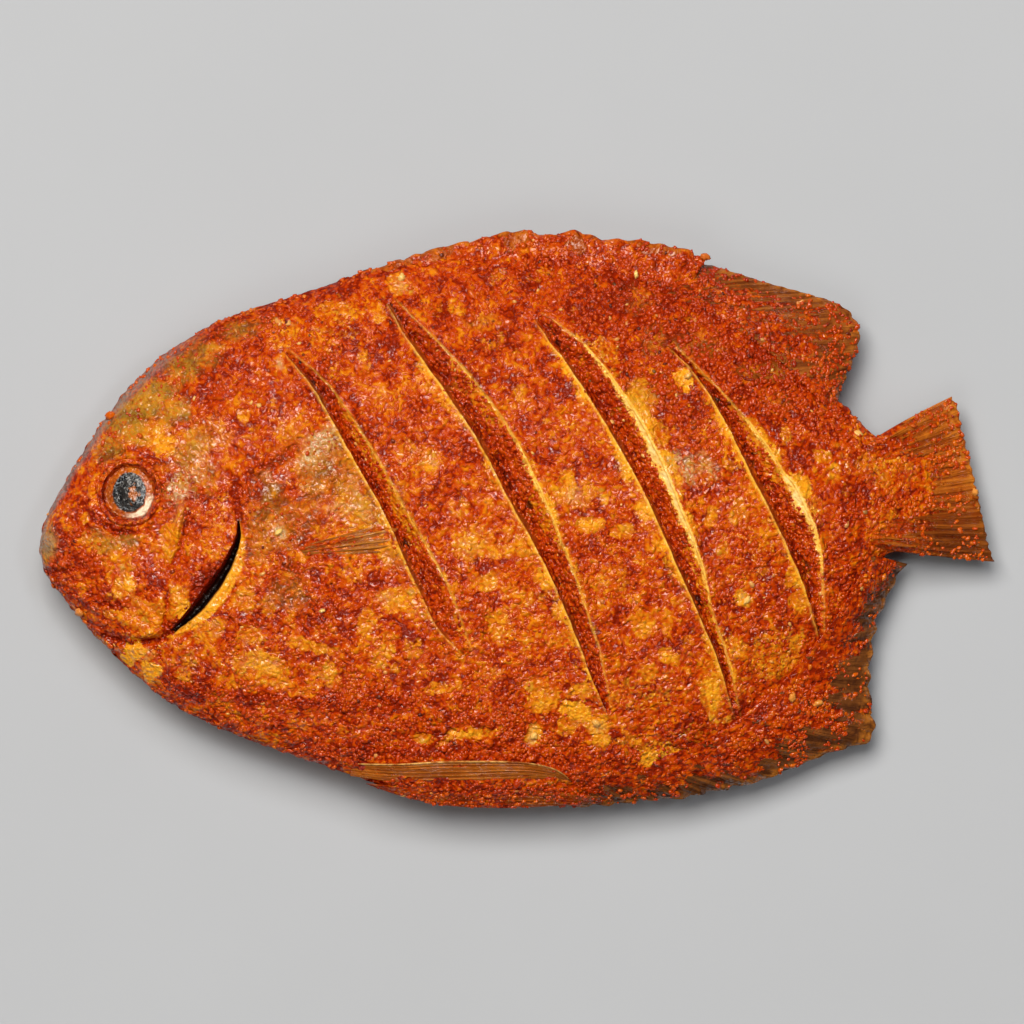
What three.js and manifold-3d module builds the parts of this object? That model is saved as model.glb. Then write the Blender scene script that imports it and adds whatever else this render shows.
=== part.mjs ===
// Whole pearl spot fish in a coarse spice coat, lying on its right side.
// Millimetres, +Z up. Head towards -X, back and dorsal fin towards +Y, the
// flank that shows faces +Z, and the other flank rests on Z = 0.
// The origin is the middle of the outline, on the resting surface.

import * as THREE from 'three';
import * as BufferGeometryUtils from 'three/addons/utils/BufferGeometryUtils.js';
import Module from 'manifold-3d';

// ---------------------------------------------------------------------------
// Driving dimensions
// ---------------------------------------------------------------------------
const LENGTH = 191.2;          // snout to the lower tip of the tail fin
const SNOUT_X = -95.6;         // the snout's tip
const MAX_THICK = 24.6;        // through the flanks, behind the gill cover
const AXIS_Z = 11.7;           // height of the middle plane of the trunk
const UNDER_SWELL = 0.6;       // how far the lower flank would bulge below Z = 0
const RING_POINTS = 32;        // points round one section
const RINGS_PER_STATION = 3;   // sections between two stations

const SLASH_DEPTH = 4.2;       // four cuts across the flank
const SLASH_OVER = 5.0;        // how far the cutter stands out of the flank
const GILL_DEPTH = 4.6;
const MOUTH_DEPTH = 3.0;

const EYE_X = -77.8;
const EYE_Y = 5.7;
const EYE_R = 3.7;             // the clear dome
const EYE_RING_R = 5.6;        // the raised ring round it
const EYE_RING_TUBE = 0.75;

const FIN_ROOT = 2.6;          // thickness of a fin where it leaves the body
const FIN_EDGE = 1.5;          // and at its free edge

// ---------------------------------------------------------------------------
// Small helpers
// ---------------------------------------------------------------------------
const lerp = (a, b, t) => a + (b - a) * t;
const clamp = (v, a, b) => Math.min(b, Math.max(a, v));
const smooth = (a, b, v) => {
  const t = clamp((v - a) / (b - a), 0, 1);
  return t * t * (3 - 2 * t);
};

// A uniform Catmull-Rom curve through rows of numbers, u from 0 to 1.
function spline(rows) {
  const n = rows.length;
  return (u) => {
    const f = clamp(u, 0, 1) * (n - 1);
    const i = Math.min(Math.floor(f), n - 2);
    const t = f - i;
    const p0 = rows[Math.max(i - 1, 0)];
    const p1 = rows[i];
    const p2 = rows[i + 1];
    const p3 = rows[Math.min(i + 2, n - 1)];
    return p1.map((_, k) => {
      const a = p0[k], b = p1[k], c = p2[k], d = p3[k];
      return 0.5 * (2 * b + (c - a) * t + (2 * a - 5 * b + 4 * c - d) * t * t
        + (3 * b - a - 3 * c + d) * t * t * t);
    });
  };
}

// ---------------------------------------------------------------------------
// The body: sections along X
// Each station: x, height of the back, height of the belly, half thickness
// as a share of MAX_THICK / 2, drop of the middle plane, section fullness.
// ---------------------------------------------------------------------------
const STATIONS = [
  [-95.6, -4.6, -7.4, 0.12, 1.9, 1.9],
  [-95.1, -1.2, -9.6, 0.22, 1.8, 1.9],
  [-93.6, 3.0, -12.2, 0.34, 1.6, 1.9],
  [-90.6, 8.4, -16.0, 0.46, 1.3, 1.9],
  [-85.6, 16.4, -21.6, 0.58, 0.9, 1.9],
  [-78.6, 25.9, -29.0, 0.70, 0.5, 1.9],
  [-69.6, 34.0, -36.3, 0.80, 0.2, 1.85],
  [-57.6, 41.0, -42.4, 0.90, 0.0, 1.8],
  [-41.6, 46.0, -48.0, 0.98, 0.0, 1.8],
  [-21.6, 52.5, -54.4, 1.00, 0.0, 1.75],
  [-1.6, 55.0, -55.8, 0.98, 0.0, 1.7],
  [18.4, 53.0, -53.6, 0.90, 0.0, 1.65],
  [36.4, 46.6, -48.0, 0.77, 0.1, 1.6],
  [51.4, 36.8, -36.8, 0.61, 0.4, 1.6],
  [63.4, 24.6, -22.4, 0.44, 0.9, 1.6],
  [71.4, 17.0, -8.6, 0.31, 1.5, 1.6],
  [77.4, 16.4, -5.6, 0.19, 2.4, 1.6],
  [82.4, 16.0, -5.6, 0.09, 3.3, 1.6],
];
const bodyAt = spline(STATIONS);

// The station parameter that holds a given x.
const X_TABLE = (() => {
  const t = [];
  const n = 600;
  for (let i = 0; i <= n; i++) t.push([bodyAt(i / n)[0], i / n]);
  return t;
})();
function paramAt(x) {
  let lo = 0, hi = X_TABLE.length - 1;
  if (x <= X_TABLE[0][0]) return 0;
  if (x >= X_TABLE[hi][0]) return 1;
  while (hi - lo > 1) {
    const m = (lo + hi) >> 1;
    if (X_TABLE[m][0] <= x) lo = m; else hi = m;
  }
  return lerp(X_TABLE[lo][1], X_TABLE[hi][1],
    (x - X_TABLE[lo][0]) / (X_TABLE[hi][0] - X_TABLE[lo][0]));
}

// Section shape: 0 at the edges, 1 in the middle of the flank.
const flankShape = (w, n) => Math.pow(Math.max(0, 1 - Math.pow(Math.abs(w), 2.2)), 1 / n);

// Height of the upper flank, and of the middle plane, over a point.
function topZ(x, y) {
  const [, back, belly, half, drop, n] = bodyAt(paramAt(x));
  const w = (2 * y - back - belly) / (back - belly);
  return AXIS_Z - drop + half * MAX_THICK / 2 * flankShape(clamp(w, -1, 1), n);
}
const axisZ = (x) => AXIS_Z - bodyAt(paramAt(x))[4];

// A closed skin over rings of points, each ring closed on itself, with a fan
// over the first and the last ring.
function skin(rings) {
  const pos = [];
  const m = rings[0].length;
  for (const r of rings) for (const p of r) pos.push(...p);
  const index = [];
  const at = (i, j) => i * m + (j % m);
  for (let i = 0; i < rings.length - 1; i++) {
    for (let j = 0; j < m; j++) {
      const a = at(i, j), b = at(i, j + 1), c = at(i + 1, j + 1), d = at(i + 1, j);
      index.push(a, d, b, b, d, c);
    }
  }
  for (const end of [0, rings.length - 1]) {
    const r = rings[end];
    const c = r.reduce((s, p) => [s[0] + p[0] / m, s[1] + p[1] / m, s[2] + p[2] / m], [0, 0, 0]);
    const k = pos.length / 3;
    pos.push(...c);
    for (let j = 0; j < m; j++) {
      if (end === 0) index.push(k, at(0, j), at(0, j + 1));
      else index.push(k, at(end, j + 1), at(end, j));
    }
  }
  const g = new THREE.BufferGeometry();
  g.setAttribute('position', new THREE.Float32BufferAttribute(pos, 3));
  g.setIndex(index);
  return g;
}

function bodyGeometry() {
  const rings = [];
  const steps = (STATIONS.length - 1) * RINGS_PER_STATION;
  for (let i = 0; i <= steps; i++) {
    const [x, back, belly, half, drop, n] = bodyAt(i / steps);
    const yc = (back + belly) / 2, hy = (back - belly) / 2;
    const zc = AXIS_Z - drop;
    const h = half * MAX_THICK / 2;
    const ring = [];
    for (let j = 0; j < RING_POINTS; j++) {
      const a = 2 * Math.PI * j / RING_POINTS;
      const c = Math.cos(a), s = Math.sin(a);
      const w = Math.sign(c) * Math.pow(Math.abs(c), 0.9);
      const rise = flankShape(w, n);
      const under = h + UNDER_SWELL * smooth(0.5, 0.9, half);
      ring.push([x, yc + hy * w, s >= 0 ? zc + h * rise : zc - under * rise]);
    }
    rings.push(ring);
  }
  return skin(rings);
}

// ---------------------------------------------------------------------------
// Solids
// ---------------------------------------------------------------------------
const wasm = await Module();
wasm.setup();

function solid(geometry) {
  let g = geometry.clone();
  g.deleteAttribute('normal');
  g.deleteAttribute('uv');
  g = BufferGeometryUtils.mergeVertices(g, 1e-4);
  const idx = g.index.array;
  const keep = [];
  for (let i = 0; i < idx.length; i += 3) {
    const a = idx[i], b = idx[i + 1], c = idx[i + 2];
    if (a !== b && b !== c && c !== a) keep.push(a, b, c);
  }
  const p = g.attributes.position.array;
  let vol = 0;
  for (let i = 0; i < keep.length; i += 3) {
    const [a, b, c] = [keep[i] * 3, keep[i + 1] * 3, keep[i + 2] * 3];
    vol += p[a] * (p[b + 1] * p[c + 2] - p[b + 2] * p[c + 1])
      - p[a + 1] * (p[b] * p[c + 2] - p[b + 2] * p[c])
      + p[a + 2] * (p[b] * p[c + 1] - p[b + 1] * p[c]);
  }
  if (vol < 0) {
    for (let i = 0; i < keep.length; i += 3) {
      const t = keep[i + 1];
      keep[i + 1] = keep[i + 2];
      keep[i + 2] = t;
    }
  }
  const mesh = new wasm.Mesh({
    numProp: 3,
    vertProperties: Float32Array.from(p),
    triVerts: Uint32Array.from(keep),
  });
  mesh.merge();
  return new wasm.Manifold(mesh);
}

// A fin: rays run from a root line to an edge line. root(t) and edge(t) give
// [x, y]; level(x, y, s, t) gives the middle height; ridges raise the rays.
function fin({ root, edge, level, rays, along = 5, tooth = 0.5, bow = 0,
  rootThick = FIN_ROOT, edgeThick = FIN_EDGE, ridge = 0.18 }) {
  const across = rays * 2;
  const rings = [];
  for (let i = 0; i <= along; i++) {
    const s = i / along;
    const upper = [], lower = [];
    for (let j = 0; j <= across; j++) {
      const t = j / across;
      const a = root(t), b = edge(t);
      const dx = b[0] - a[0], dy = b[1] - a[1];
      const len = Math.hypot(dx, dy) || 1;
      // the webbing between two rays ends a little short of the ray tips
      const reach = 1 - (j % 2 ? tooth : 0) * smooth(0.6, 1, s) / Math.max(len, 4);
      const side = bow * Math.sin(Math.PI * s) * (bow > 0 ? 1 - t : 1);
      const x = a[0] + dx * s * reach - dy / len * side;
      const y = a[1] + dy * s * reach + dx / len * side;
      const z = level(x, y, s, t);
      let h = lerp(rootThick, edgeThick, s) / 2 + (j % 2 ? -ridge : ridge);
      if (j === 0 || j === across) h *= 0.8;
      upper.push([x, y, z + h]);
      lower.push([x, y, z - h]);
    }
    rings.push([...upper, ...lower.reverse()]);
  }
  return skin(rings);
}

// A groove with sloping walls along a path of [x, y, half width, depth].
function groove(path, over, steps) {
  const at = spline(path);
  const rings = [];
  for (let i = 0; i <= steps; i++) {
    const u = i / steps;
    const [x, y, half, depth] = at(u);
    const e = 0.01;
    const q = at(clamp(u + e, 0, 1)), r = at(clamp(u - e, 0, 1));
    const dx = q[0] - r[0], dy = q[1] - r[1], l = Math.hypot(dx, dy) || 1;
    const nx = -dy / l, ny = dx / l;
    const z = topZ(x, y);
    const wide = half * (1 + over / Math.max(depth, 0.6));
    rings.push([
      [x + nx * wide, y + ny * wide, z + over],
      [x - nx * wide, y - ny * wide, z + over],
      [x - nx * half * 0.25, y - ny * half * 0.25, z - depth],
      [x + nx * half * 0.25, y + ny * half * 0.25, z - depth],
    ]);
  }
  return skin(rings);
}

// One cut across the flank: from its upper end to its lower end, bowed
// towards the tail, widest in the middle.
function slash(x0, y0, x1, y1, bow, half) {
  const path = [];
  const n = 8;
  const dx = x1 - x0, dy = y1 - y0, l = Math.hypot(dx, dy);
  for (let i = 0; i <= n; i++) {
    const t = i / n;
    const b = bow * Math.sin(Math.PI * Math.pow(t, 1.1));
    const open = Math.pow(Math.sin(Math.PI * clamp(t, 0.02, 0.98)), 0.55);
    path.push([
      x0 + dx * t - dy / l * b,
      y0 + dy * t + dx / l * b,
      half * (0.12 + 0.88 * open),
      SLASH_DEPTH * (0.15 + 0.85 * open),
    ]);
  }
  return groove(path, SLASH_OVER, 12);
}

// ---------------------------------------------------------------------------
// Fins
// ---------------------------------------------------------------------------
const parts = [];

// Dorsal fin: the spiny front part is folded back along the back.
const dorsalSpiny = fin({
  root: (t) => {
    const x = lerp(-33, 30, t);
    return [x, bodyAt(paramAt(x))[1] - 2.2];
  },
  edge: (t) => {
    const x = lerp(-27, 38, t);
    const rise = lerp(0.6, 7.2, Math.pow(t, 1.7)) + 1.0 * Math.sin(Math.PI * t);
    return [x, bodyAt(paramAt(x))[1] + rise];
  },
  level: (x, y, s) => axisZ(x) + 1.0 - 0.6 * s,
  rays: 14, along: 3, tooth: 0.9, rootThick: 4.2, edgeThick: 1.9,
});

// Its soft rear part spreads into a rounded lobe.
const dorsalLobe = spline([
  [37.2, 53.0], [48.0, 48.6], [59.0, 45.8], [65.8, 43.2], [68.8, 38.8],
  [68.4, 34.2], [66.4, 29.6], [64.8, 25.8],
]);
const dorsalSoft = fin({
  root: (t) => {
    const x = lerp(29, 62, t);
    return [x, bodyAt(paramAt(x))[1] - 3.0];
  },
  edge: (t) => dorsalLobe(t),
  level: (x, y, s) => axisZ(x) + 0.4 - 2.0 * s * s,
  rays: 14, along: 4, tooth: 0.5, rootThick: 4.4, edgeThick: 1.5,
});

// Anal fin: folded towards the tail, its rear edge steps down ray by ray.
const analEdge = spline([
  [8.2, -57.6], [24.2, -56.4], [40.2, -54.2], [56.2, -49.0], [64.4, -46.2],
  [71.0, -44.4], [72.2, -40.6], [71.2, -34.0], [71.2, -28.0], [71.8, -23.0],
  [73.6, -17.8], [75.8, -13.2], [78.0, -8.6],
]);
const anal = fin({
  root: (t) => {
    const x = lerp(0, 70, t);
    return [x, bodyAt(paramAt(x))[2] + 3.0];
  },
  edge: (t) => analEdge(t),
  level: (x, y, s) => axisZ(x) + 0.2 - 2.6 * s * s,
  rays: 16, along: 3, tooth: 1.1, rootThick: 4.4, edgeThick: 1.6,
});

// Tail fin: a fan of rays with two pointed corners.
const tail = fin({
  root: (t) => [lerp(70.5, 71.5, t), lerp(15.8, -5.0, t)],
  edge: (t) => {
    const bulge = 0.3 * Math.sin(Math.PI * t);
    return [lerp(87.4, 95.6, t) + bulge * 0.98, lerp(24.6, -8.2, t) + bulge * 0.2];
  },
  level: (x, y, s, t) => lerp(axisZ(72), 8.6, smooth(0, 1, s)) + 0.7 * Math.sin(5 * t + 2 * s) * s,
  rays: 15, along: 5, tooth: 0.4, bow: -0.2, rootThick: 5.0, edgeThick: 1.5, ridge: 0.22,
});

// Pectoral fin: a thin fan pressed on the flank behind the gill opening.
const onFlank = (lift) => (x, y) => topZ(x, y) + lift;
const pectoral = fin({
  root: (t) => [lerp(-50.5, -49.5, t), lerp(-8.6, -13.6, t)],
  edge: (t) => [lerp(-24.8, -27.5, t) + 3.2 * Math.sin(Math.PI * t), lerp(-1.4, -15.5, t)],
  level: onFlank(-0.35),
  rays: 6, along: 4, tooth: 0.8, rootThick: 2.4, edgeThick: 1.9, ridge: 0.12,
});

// Pelvic fins: two blades folded back along the edge of the belly.
const pelvicUpper = fin({
  root: (t) => [-35.0, lerp(-48.2, -51.4, t)],
  edge: (t) => [lerp(10.4, 9.0, t), lerp(-50.6, -52.2, t)],
  level: (x, y) => Math.max(topZ(x, Math.max(y, -50.5)) - 0.9, AXIS_Z + 4.2),
  rays: 4, along: 7, tooth: 0.6, bow: 1.6, rootThick: 3.4, edgeThick: 1.8, ridge: 0.1,
});
const pelvicLower = fin({
  root: (t) => [-31.0, lerp(-50.6, -53.4, t)],
  edge: (t) => [lerp(16.0, 7.0, t), lerp(-54.0, -57.2, t)],
  level: (x, y, s) => AXIS_Z + lerp(3.4, 1.0, s),
  rays: 4, along: 7, tooth: 0.7, bow: -2.2, rootThick: 4.6, edgeThick: 3.0, ridge: 0.12,
});
parts.push(dorsalSpiny, dorsalSoft, anal, tail, pectoral, pelvicUpper, pelvicLower);

// ---------------------------------------------------------------------------
// Eye: a low dome inside a raised ring
// ---------------------------------------------------------------------------
const eyeZ = topZ(EYE_X, EYE_Y);
const eyeTilt = new THREE.Euler(-0.10, -0.30, 0);
const dome = new THREE.SphereGeometry(EYE_R, 16, 8);
dome.scale(1, 1.08, 0.42);
dome.applyMatrix4(new THREE.Matrix4().makeRotationFromEuler(eyeTilt).setPosition(EYE_X, EYE_Y, eyeZ + 0.25));
const ring = new THREE.TorusGeometry(EYE_RING_R, EYE_RING_TUBE, 6, 18);
ring.scale(1.08, 1, 1);
ring.applyMatrix4(new THREE.Matrix4().makeRotationFromEuler(eyeTilt).setPosition(EYE_X, EYE_Y, eyeZ - 0.1));
parts.push(dome, ring);

// ---------------------------------------------------------------------------
// Cuts
// ---------------------------------------------------------------------------
const cuts = [
  slash(-45.8, 33.2, -10.2, -25.2, 2.2, 2.3),
  slash(-24.0, 43.0, 17.6, -39.0, 3.2, 2.5),
  slash(4.0, 41.2, 44.2, -40.4, 4.4, 2.6),
  slash(31.0, 32.6, 60.4, -23.8, 3.8, 2.3),
  // gill opening, and the fold that goes on round the throat
  groove([
    [-56.6, 6.0, 0.30, 1.2], [-56.2, -0.5, 0.50, 2.6], [-56.6, -6.2, 0.95, GILL_DEPTH],
    [-59.4, -11.8, 1.45, GILL_DEPTH], [-63.0, -16.8, 1.5, GILL_DEPTH], [-66.8, -20.8, 1.0, 3.6],
    [-70.6, -22.9, 0.50, 1.6], [-76.0, -24.0, 0.42, 1.1], [-82.0, -23.2, 0.35, 0.9],
  ], 4, 20),
  // mouth
  groove([
    [-97.0, -9.6, 0.60, MOUTH_DEPTH], [-93.6, -10.3, 0.60, 2.2], [-88.6, -10.2, 0.30, 0.9],
  ], 4, 5),
];

// ---------------------------------------------------------------------------
// Join, cut and trim flat where the fish rests
// ---------------------------------------------------------------------------
let fish = solid(bodyGeometry());
for (const g of parts) fish = fish.add(solid(g));
for (const g of cuts) fish = fish.subtract(solid(g));
const bench = new THREE.BoxGeometry(LENGTH * 2, LENGTH * 2, 40);
bench.translate(0, 0, -20);
fish = fish.subtract(solid(bench));

const out = fish.getMesh();
const geometry = new THREE.BufferGeometry();
geometry.setAttribute('position', new THREE.Float32BufferAttribute(Array.from(out.vertProperties), 3));
geometry.setIndex(Array.from(out.triVerts));

// the origin is the exact middle of the outline
geometry.computeBoundingBox();
const box = geometry.boundingBox;
geometry.translate(-(box.min.x + box.max.x) / 2, -(box.min.y + box.max.y) / 2, -box.min.z);
geometry.computeVertexNormals();

const coat = new THREE.MeshStandardMaterial({ color: 0xb5430f, roughness: 0.38, metalness: 0 });
const mesh = new THREE.Mesh(geometry, coat);
mesh.name = 'fish';

const model = new THREE.Group();
model.name = 'pearl_spot_fish';
model.add(mesh);

export default model;
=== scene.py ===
# A whole pearl spot fish in a coarse wet spice coat, lying on its right side.
# Everything is worked out in millimetres and written to Blender in metres.
# Head towards -X, back towards +Y, the flank that shows faces +Z.

import math
import bpy
import numpy as np
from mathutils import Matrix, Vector
from mathutils.bvhtree import BVHTree


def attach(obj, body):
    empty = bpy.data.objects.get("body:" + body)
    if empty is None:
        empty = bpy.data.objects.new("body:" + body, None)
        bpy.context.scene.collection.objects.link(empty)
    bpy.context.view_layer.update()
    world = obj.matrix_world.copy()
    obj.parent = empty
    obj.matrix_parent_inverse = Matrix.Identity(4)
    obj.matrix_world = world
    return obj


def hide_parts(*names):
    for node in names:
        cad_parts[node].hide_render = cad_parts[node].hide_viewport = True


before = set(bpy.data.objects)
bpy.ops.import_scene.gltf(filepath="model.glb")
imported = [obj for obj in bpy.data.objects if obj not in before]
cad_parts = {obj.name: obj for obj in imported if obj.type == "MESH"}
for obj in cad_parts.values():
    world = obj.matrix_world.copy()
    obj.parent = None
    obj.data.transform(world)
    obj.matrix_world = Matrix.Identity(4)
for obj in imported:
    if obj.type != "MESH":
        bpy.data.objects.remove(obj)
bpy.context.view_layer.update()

# ---------------------------------------------------------------------------
# Named sizes (mm)
# ---------------------------------------------------------------------------
SCALE = 0.2            # one step of the drawing grid below is 0.2 mm
MAX_THICK = 24.6
AXIS_Z = 11.7
UNDER_SWELL = 0.6
CENTRE_Y = -0.34       # the outline's middle is put on the origin
GRID_TOP = 0.36        # spacing of the skin's mesh on the shown flank
GRID_UNDER = 1.3       # and on the flank it rests on
SPLIT_X = -6.0         # the skin is made as two shells that meet here

STATIONS = np.array([
    # x, back, belly, half thickness share, drop of the middle plane, fullness
    [-95.6, -4.6, -7.4, 0.12, 1.9, 1.9],
    [-95.1, -1.2, -9.6, 0.22, 1.8, 1.9],
    [-93.6, 3.0, -12.2, 0.34, 1.6, 1.9],
    [-90.6, 8.4, -16.0, 0.46, 1.3, 1.9],
    [-85.6, 16.4, -21.6, 0.58, 0.9, 1.9],
    [-78.6, 25.9, -29.0, 0.70, 0.5, 1.9],
    [-69.6, 34.0, -36.3, 0.80, 0.2, 1.85],
    [-57.6, 41.0, -42.4, 0.90, 0.0, 1.8],
    [-41.6, 46.0, -48.0, 0.98, 0.0, 1.8],
    [-21.6, 52.5, -54.4, 1.00, 0.0, 1.75],
    [-1.6, 55.0, -55.8, 0.98, 0.0, 1.7],
    [18.4, 53.0, -53.6, 0.90, 0.0, 1.65],
    [36.4, 46.6, -48.0, 0.77, 0.1, 1.6],
    [51.4, 36.8, -36.8, 0.61, 0.4, 1.6],
    [63.4, 24.6, -22.4, 0.44, 0.9, 1.6],
    [71.4, 17.0, -8.6, 0.31, 1.5, 1.6],
    [77.4, 16.4, -5.6, 0.19, 2.4, 1.6],
    [82.4, 16.0, -5.6, 0.07, 3.3, 1.6],
])


# ---------------------------------------------------------------------------
# Helpers
# ---------------------------------------------------------------------------
def gx(px):
    return (np.asarray(px, float) - 519.0) * SCALE


def gy(py):
    return (521.0 - np.asarray(py, float)) * SCALE


def lerp(a, b, t):
    return a + (b - a) * t


def sstep(a, b, v):
    t = np.clip((v - a) / (b - a), 0.0, 1.0)
    return t * t * (3 - 2 * t)


def catmull(rows, u):
    rows = np.asarray(rows, float)
    n = len(rows)
    f = np.clip(np.asarray(u, float), 0, 1) * (n - 1)
    i = np.minimum(f.astype(int), n - 2)
    t = (f - i)[..., None]
    p0 = rows[np.maximum(i - 1, 0)]
    p1 = rows[i]
    p2 = rows[i + 1]
    p3 = rows[np.minimum(i + 2, n - 1)]
    return 0.5 * (2 * p1 + (p2 - p0) * t + (2 * p0 - 5 * p1 + 4 * p2 - p3) * t ** 2
                  + (3 * p1 - p0 - 3 * p2 + p3) * t ** 3)


def _hash(ix, iy, iz, seed):
    n = (ix.astype(np.int64) * 374761393 + iy.astype(np.int64) * 668265263
         + iz.astype(np.int64) * 1442695041 + seed * 1274126177) & 0xFFFFFFFF
    n = ((n ^ (n >> 13)) * 1274126177) & 0xFFFFFFFF
    n = ((n ^ (n >> 15)) * 668265263) & 0xFFFFFFFF
    n = n ^ (n >> 16)
    return (n & 0xFFFFFFFF) / 4294967296.0


def vnoise(p, seed):
    """Smooth value noise, 0 to 1, one cell a unit."""
    i = np.floor(p).astype(np.int64)
    f = p - i
    u = f * f * f * (f * (f * 6 - 15) + 10)
    out = 0
    for dx in (0, 1):
        wx = u[:, 0] if dx else 1 - u[:, 0]
        for dy in (0, 1):
            wy = u[:, 1] if dy else 1 - u[:, 1]
            for dz in (0, 1):
                wz = u[:, 2] if dz else 1 - u[:, 2]
                out = out + wx * wy * wz * _hash(i[:, 0] + dx, i[:, 1] + dy, i[:, 2] + dz, seed)
    return out


def fbm(p, size, octaves, seed):
    """Sum of octaves, about -1 to 1; size is the largest feature in mm."""
    total = 0
    amp, norm = 1.0, 0.0
    q = p / size
    for o in range(octaves):
        total = total + amp * (vnoise(q * 2 ** o + 17.3 * o, seed + o) * 2 - 1)
        norm += amp
        amp *= 0.5
    return total / norm


def cells(p, size, seed):
    """Distance to the nearest and second nearest cell point, in cell units, and the cell's own number."""
    q = p / size
    i = np.floor(q).astype(np.int64)
    best = np.full(len(p), 9.0)
    second = np.full(len(p), 9.0)
    cid = np.zeros(len(p))
    for dx in (-1, 0, 1):
        for dy in (-1, 0, 1):
            for dz in (-1, 0, 1):
                cx, cy, cz = i[:, 0] + dx, i[:, 1] + dy, i[:, 2] + dz
                jx = _hash(cx, cy, cz, seed) * 0.8 + 0.1
                jy = _hash(cx, cy, cz, seed + 1) * 0.8 + 0.1
                jz = _hash(cx, cy, cz, seed + 2) * 0.8 + 0.1
                d = np.sqrt((cx + jx - q[:, 0]) ** 2 + (cy + jy - q[:, 1]) ** 2 + (cz + jz - q[:, 2]) ** 2)
                near = d < best
                second = np.where(near, best, np.minimum(second, d))
                cid = np.where(near, _hash(cx, cy, cz, seed + 3), cid)
                best = np.where(near, d, best)
    return best, second, cid


def new_mesh(name, verts_mm, faces, smooth=True):
    me = bpy.data.meshes.new(name)
    v = np.asarray(verts_mm, float).copy()
    v[:, 1] += CENTRE_Y
    v *= 0.001
    faces = np.asarray(faces, np.int32)
    k = faces.shape[1]
    me.vertices.add(len(v))
    me.vertices.foreach_set("co", v.astype(np.float32).ravel())
    me.loops.add(len(faces) * k)
    me.loops.foreach_set("vertex_index", faces.ravel())
    me.polygons.add(len(faces))
    me.polygons.foreach_set("loop_start", np.arange(0, len(faces) * k, k, dtype=np.int32))
    me.polygons.foreach_set("loop_total", np.full(len(faces), k, np.int32))
    me.update(calc_edges=True)
    me.polygons.foreach_set("use_smooth", np.full(len(faces), smooth))
    me.update()
    ob = bpy.data.objects.new(name, me)
    bpy.context.scene.collection.objects.link(ob)
    return ob


def attr(ob, name, rgb):
    a = ob.data.attributes.new(name, "FLOAT_COLOR", "POINT")
    rgba = np.ones((len(ob.data.vertices), 4), np.float32)
    rgba[:, :3] = np.asarray(rgb, np.float32).reshape(-1, 3)
    a.data.foreach_set("color", rgba.ravel())


def vector_attr(ob, name, vec):
    a = ob.data.attributes.new(name, "FLOAT_VECTOR", "POINT")
    a.data.foreach_set("vector", np.asarray(vec, np.float32).ravel())


def tri_normals(v, f):
    """Vertex normals of a triangle mesh, in the mesh's winding."""
    a, b, c = v[f[:, 0]], v[f[:, 1]], v[f[:, 2]]
    n = np.cross(b - a, c - a)
    out = np.zeros_like(v)
    for k in range(3):
        np.add.at(out, f[:, k], n)
    return out / np.maximum(np.linalg.norm(out, axis=1, keepdims=True), 1e-12)


def orient(v, f):
    """Turns the faces out if the closed mesh is inside out."""
    a, b, c = v[f[:, 0]], v[f[:, 1]], v[f[:, 2]]
    vol = np.einsum("ij,ij->i", a, np.cross(b, c)).sum()
    return f if vol > 0 else f[:, ::-1].copy()


# ---------------------------------------------------------------------------
# The plain body
# ---------------------------------------------------------------------------
_ut = np.linspace(0, 1, 2401)
_xt = catmull(STATIONS, _ut)[:, 0]
_xt = np.maximum.accumulate(_xt)


def station(x):
    return catmull(STATIONS, np.interp(x, _xt, _ut))


def flank(w, n):
    return np.maximum(0, 1 - np.abs(w) ** 2.2) ** (1 / n)


def plain_z(x, y):
    s = station(x)
    w = np.clip((2 * y - s[..., 1] - s[..., 2]) / np.maximum(s[..., 1] - s[..., 2], 1e-6), -1, 1)
    return AXIS_Z - s[..., 4] + s[..., 3] * MAX_THICK / 2 * flank(w, s[..., 5])


def axis_z(x):
    return AXIS_Z - station(x)[..., 4]


def back_y(x):
    return station(x)[..., 1]


def belly_y(x):
    return station(x)[..., 2]


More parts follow.
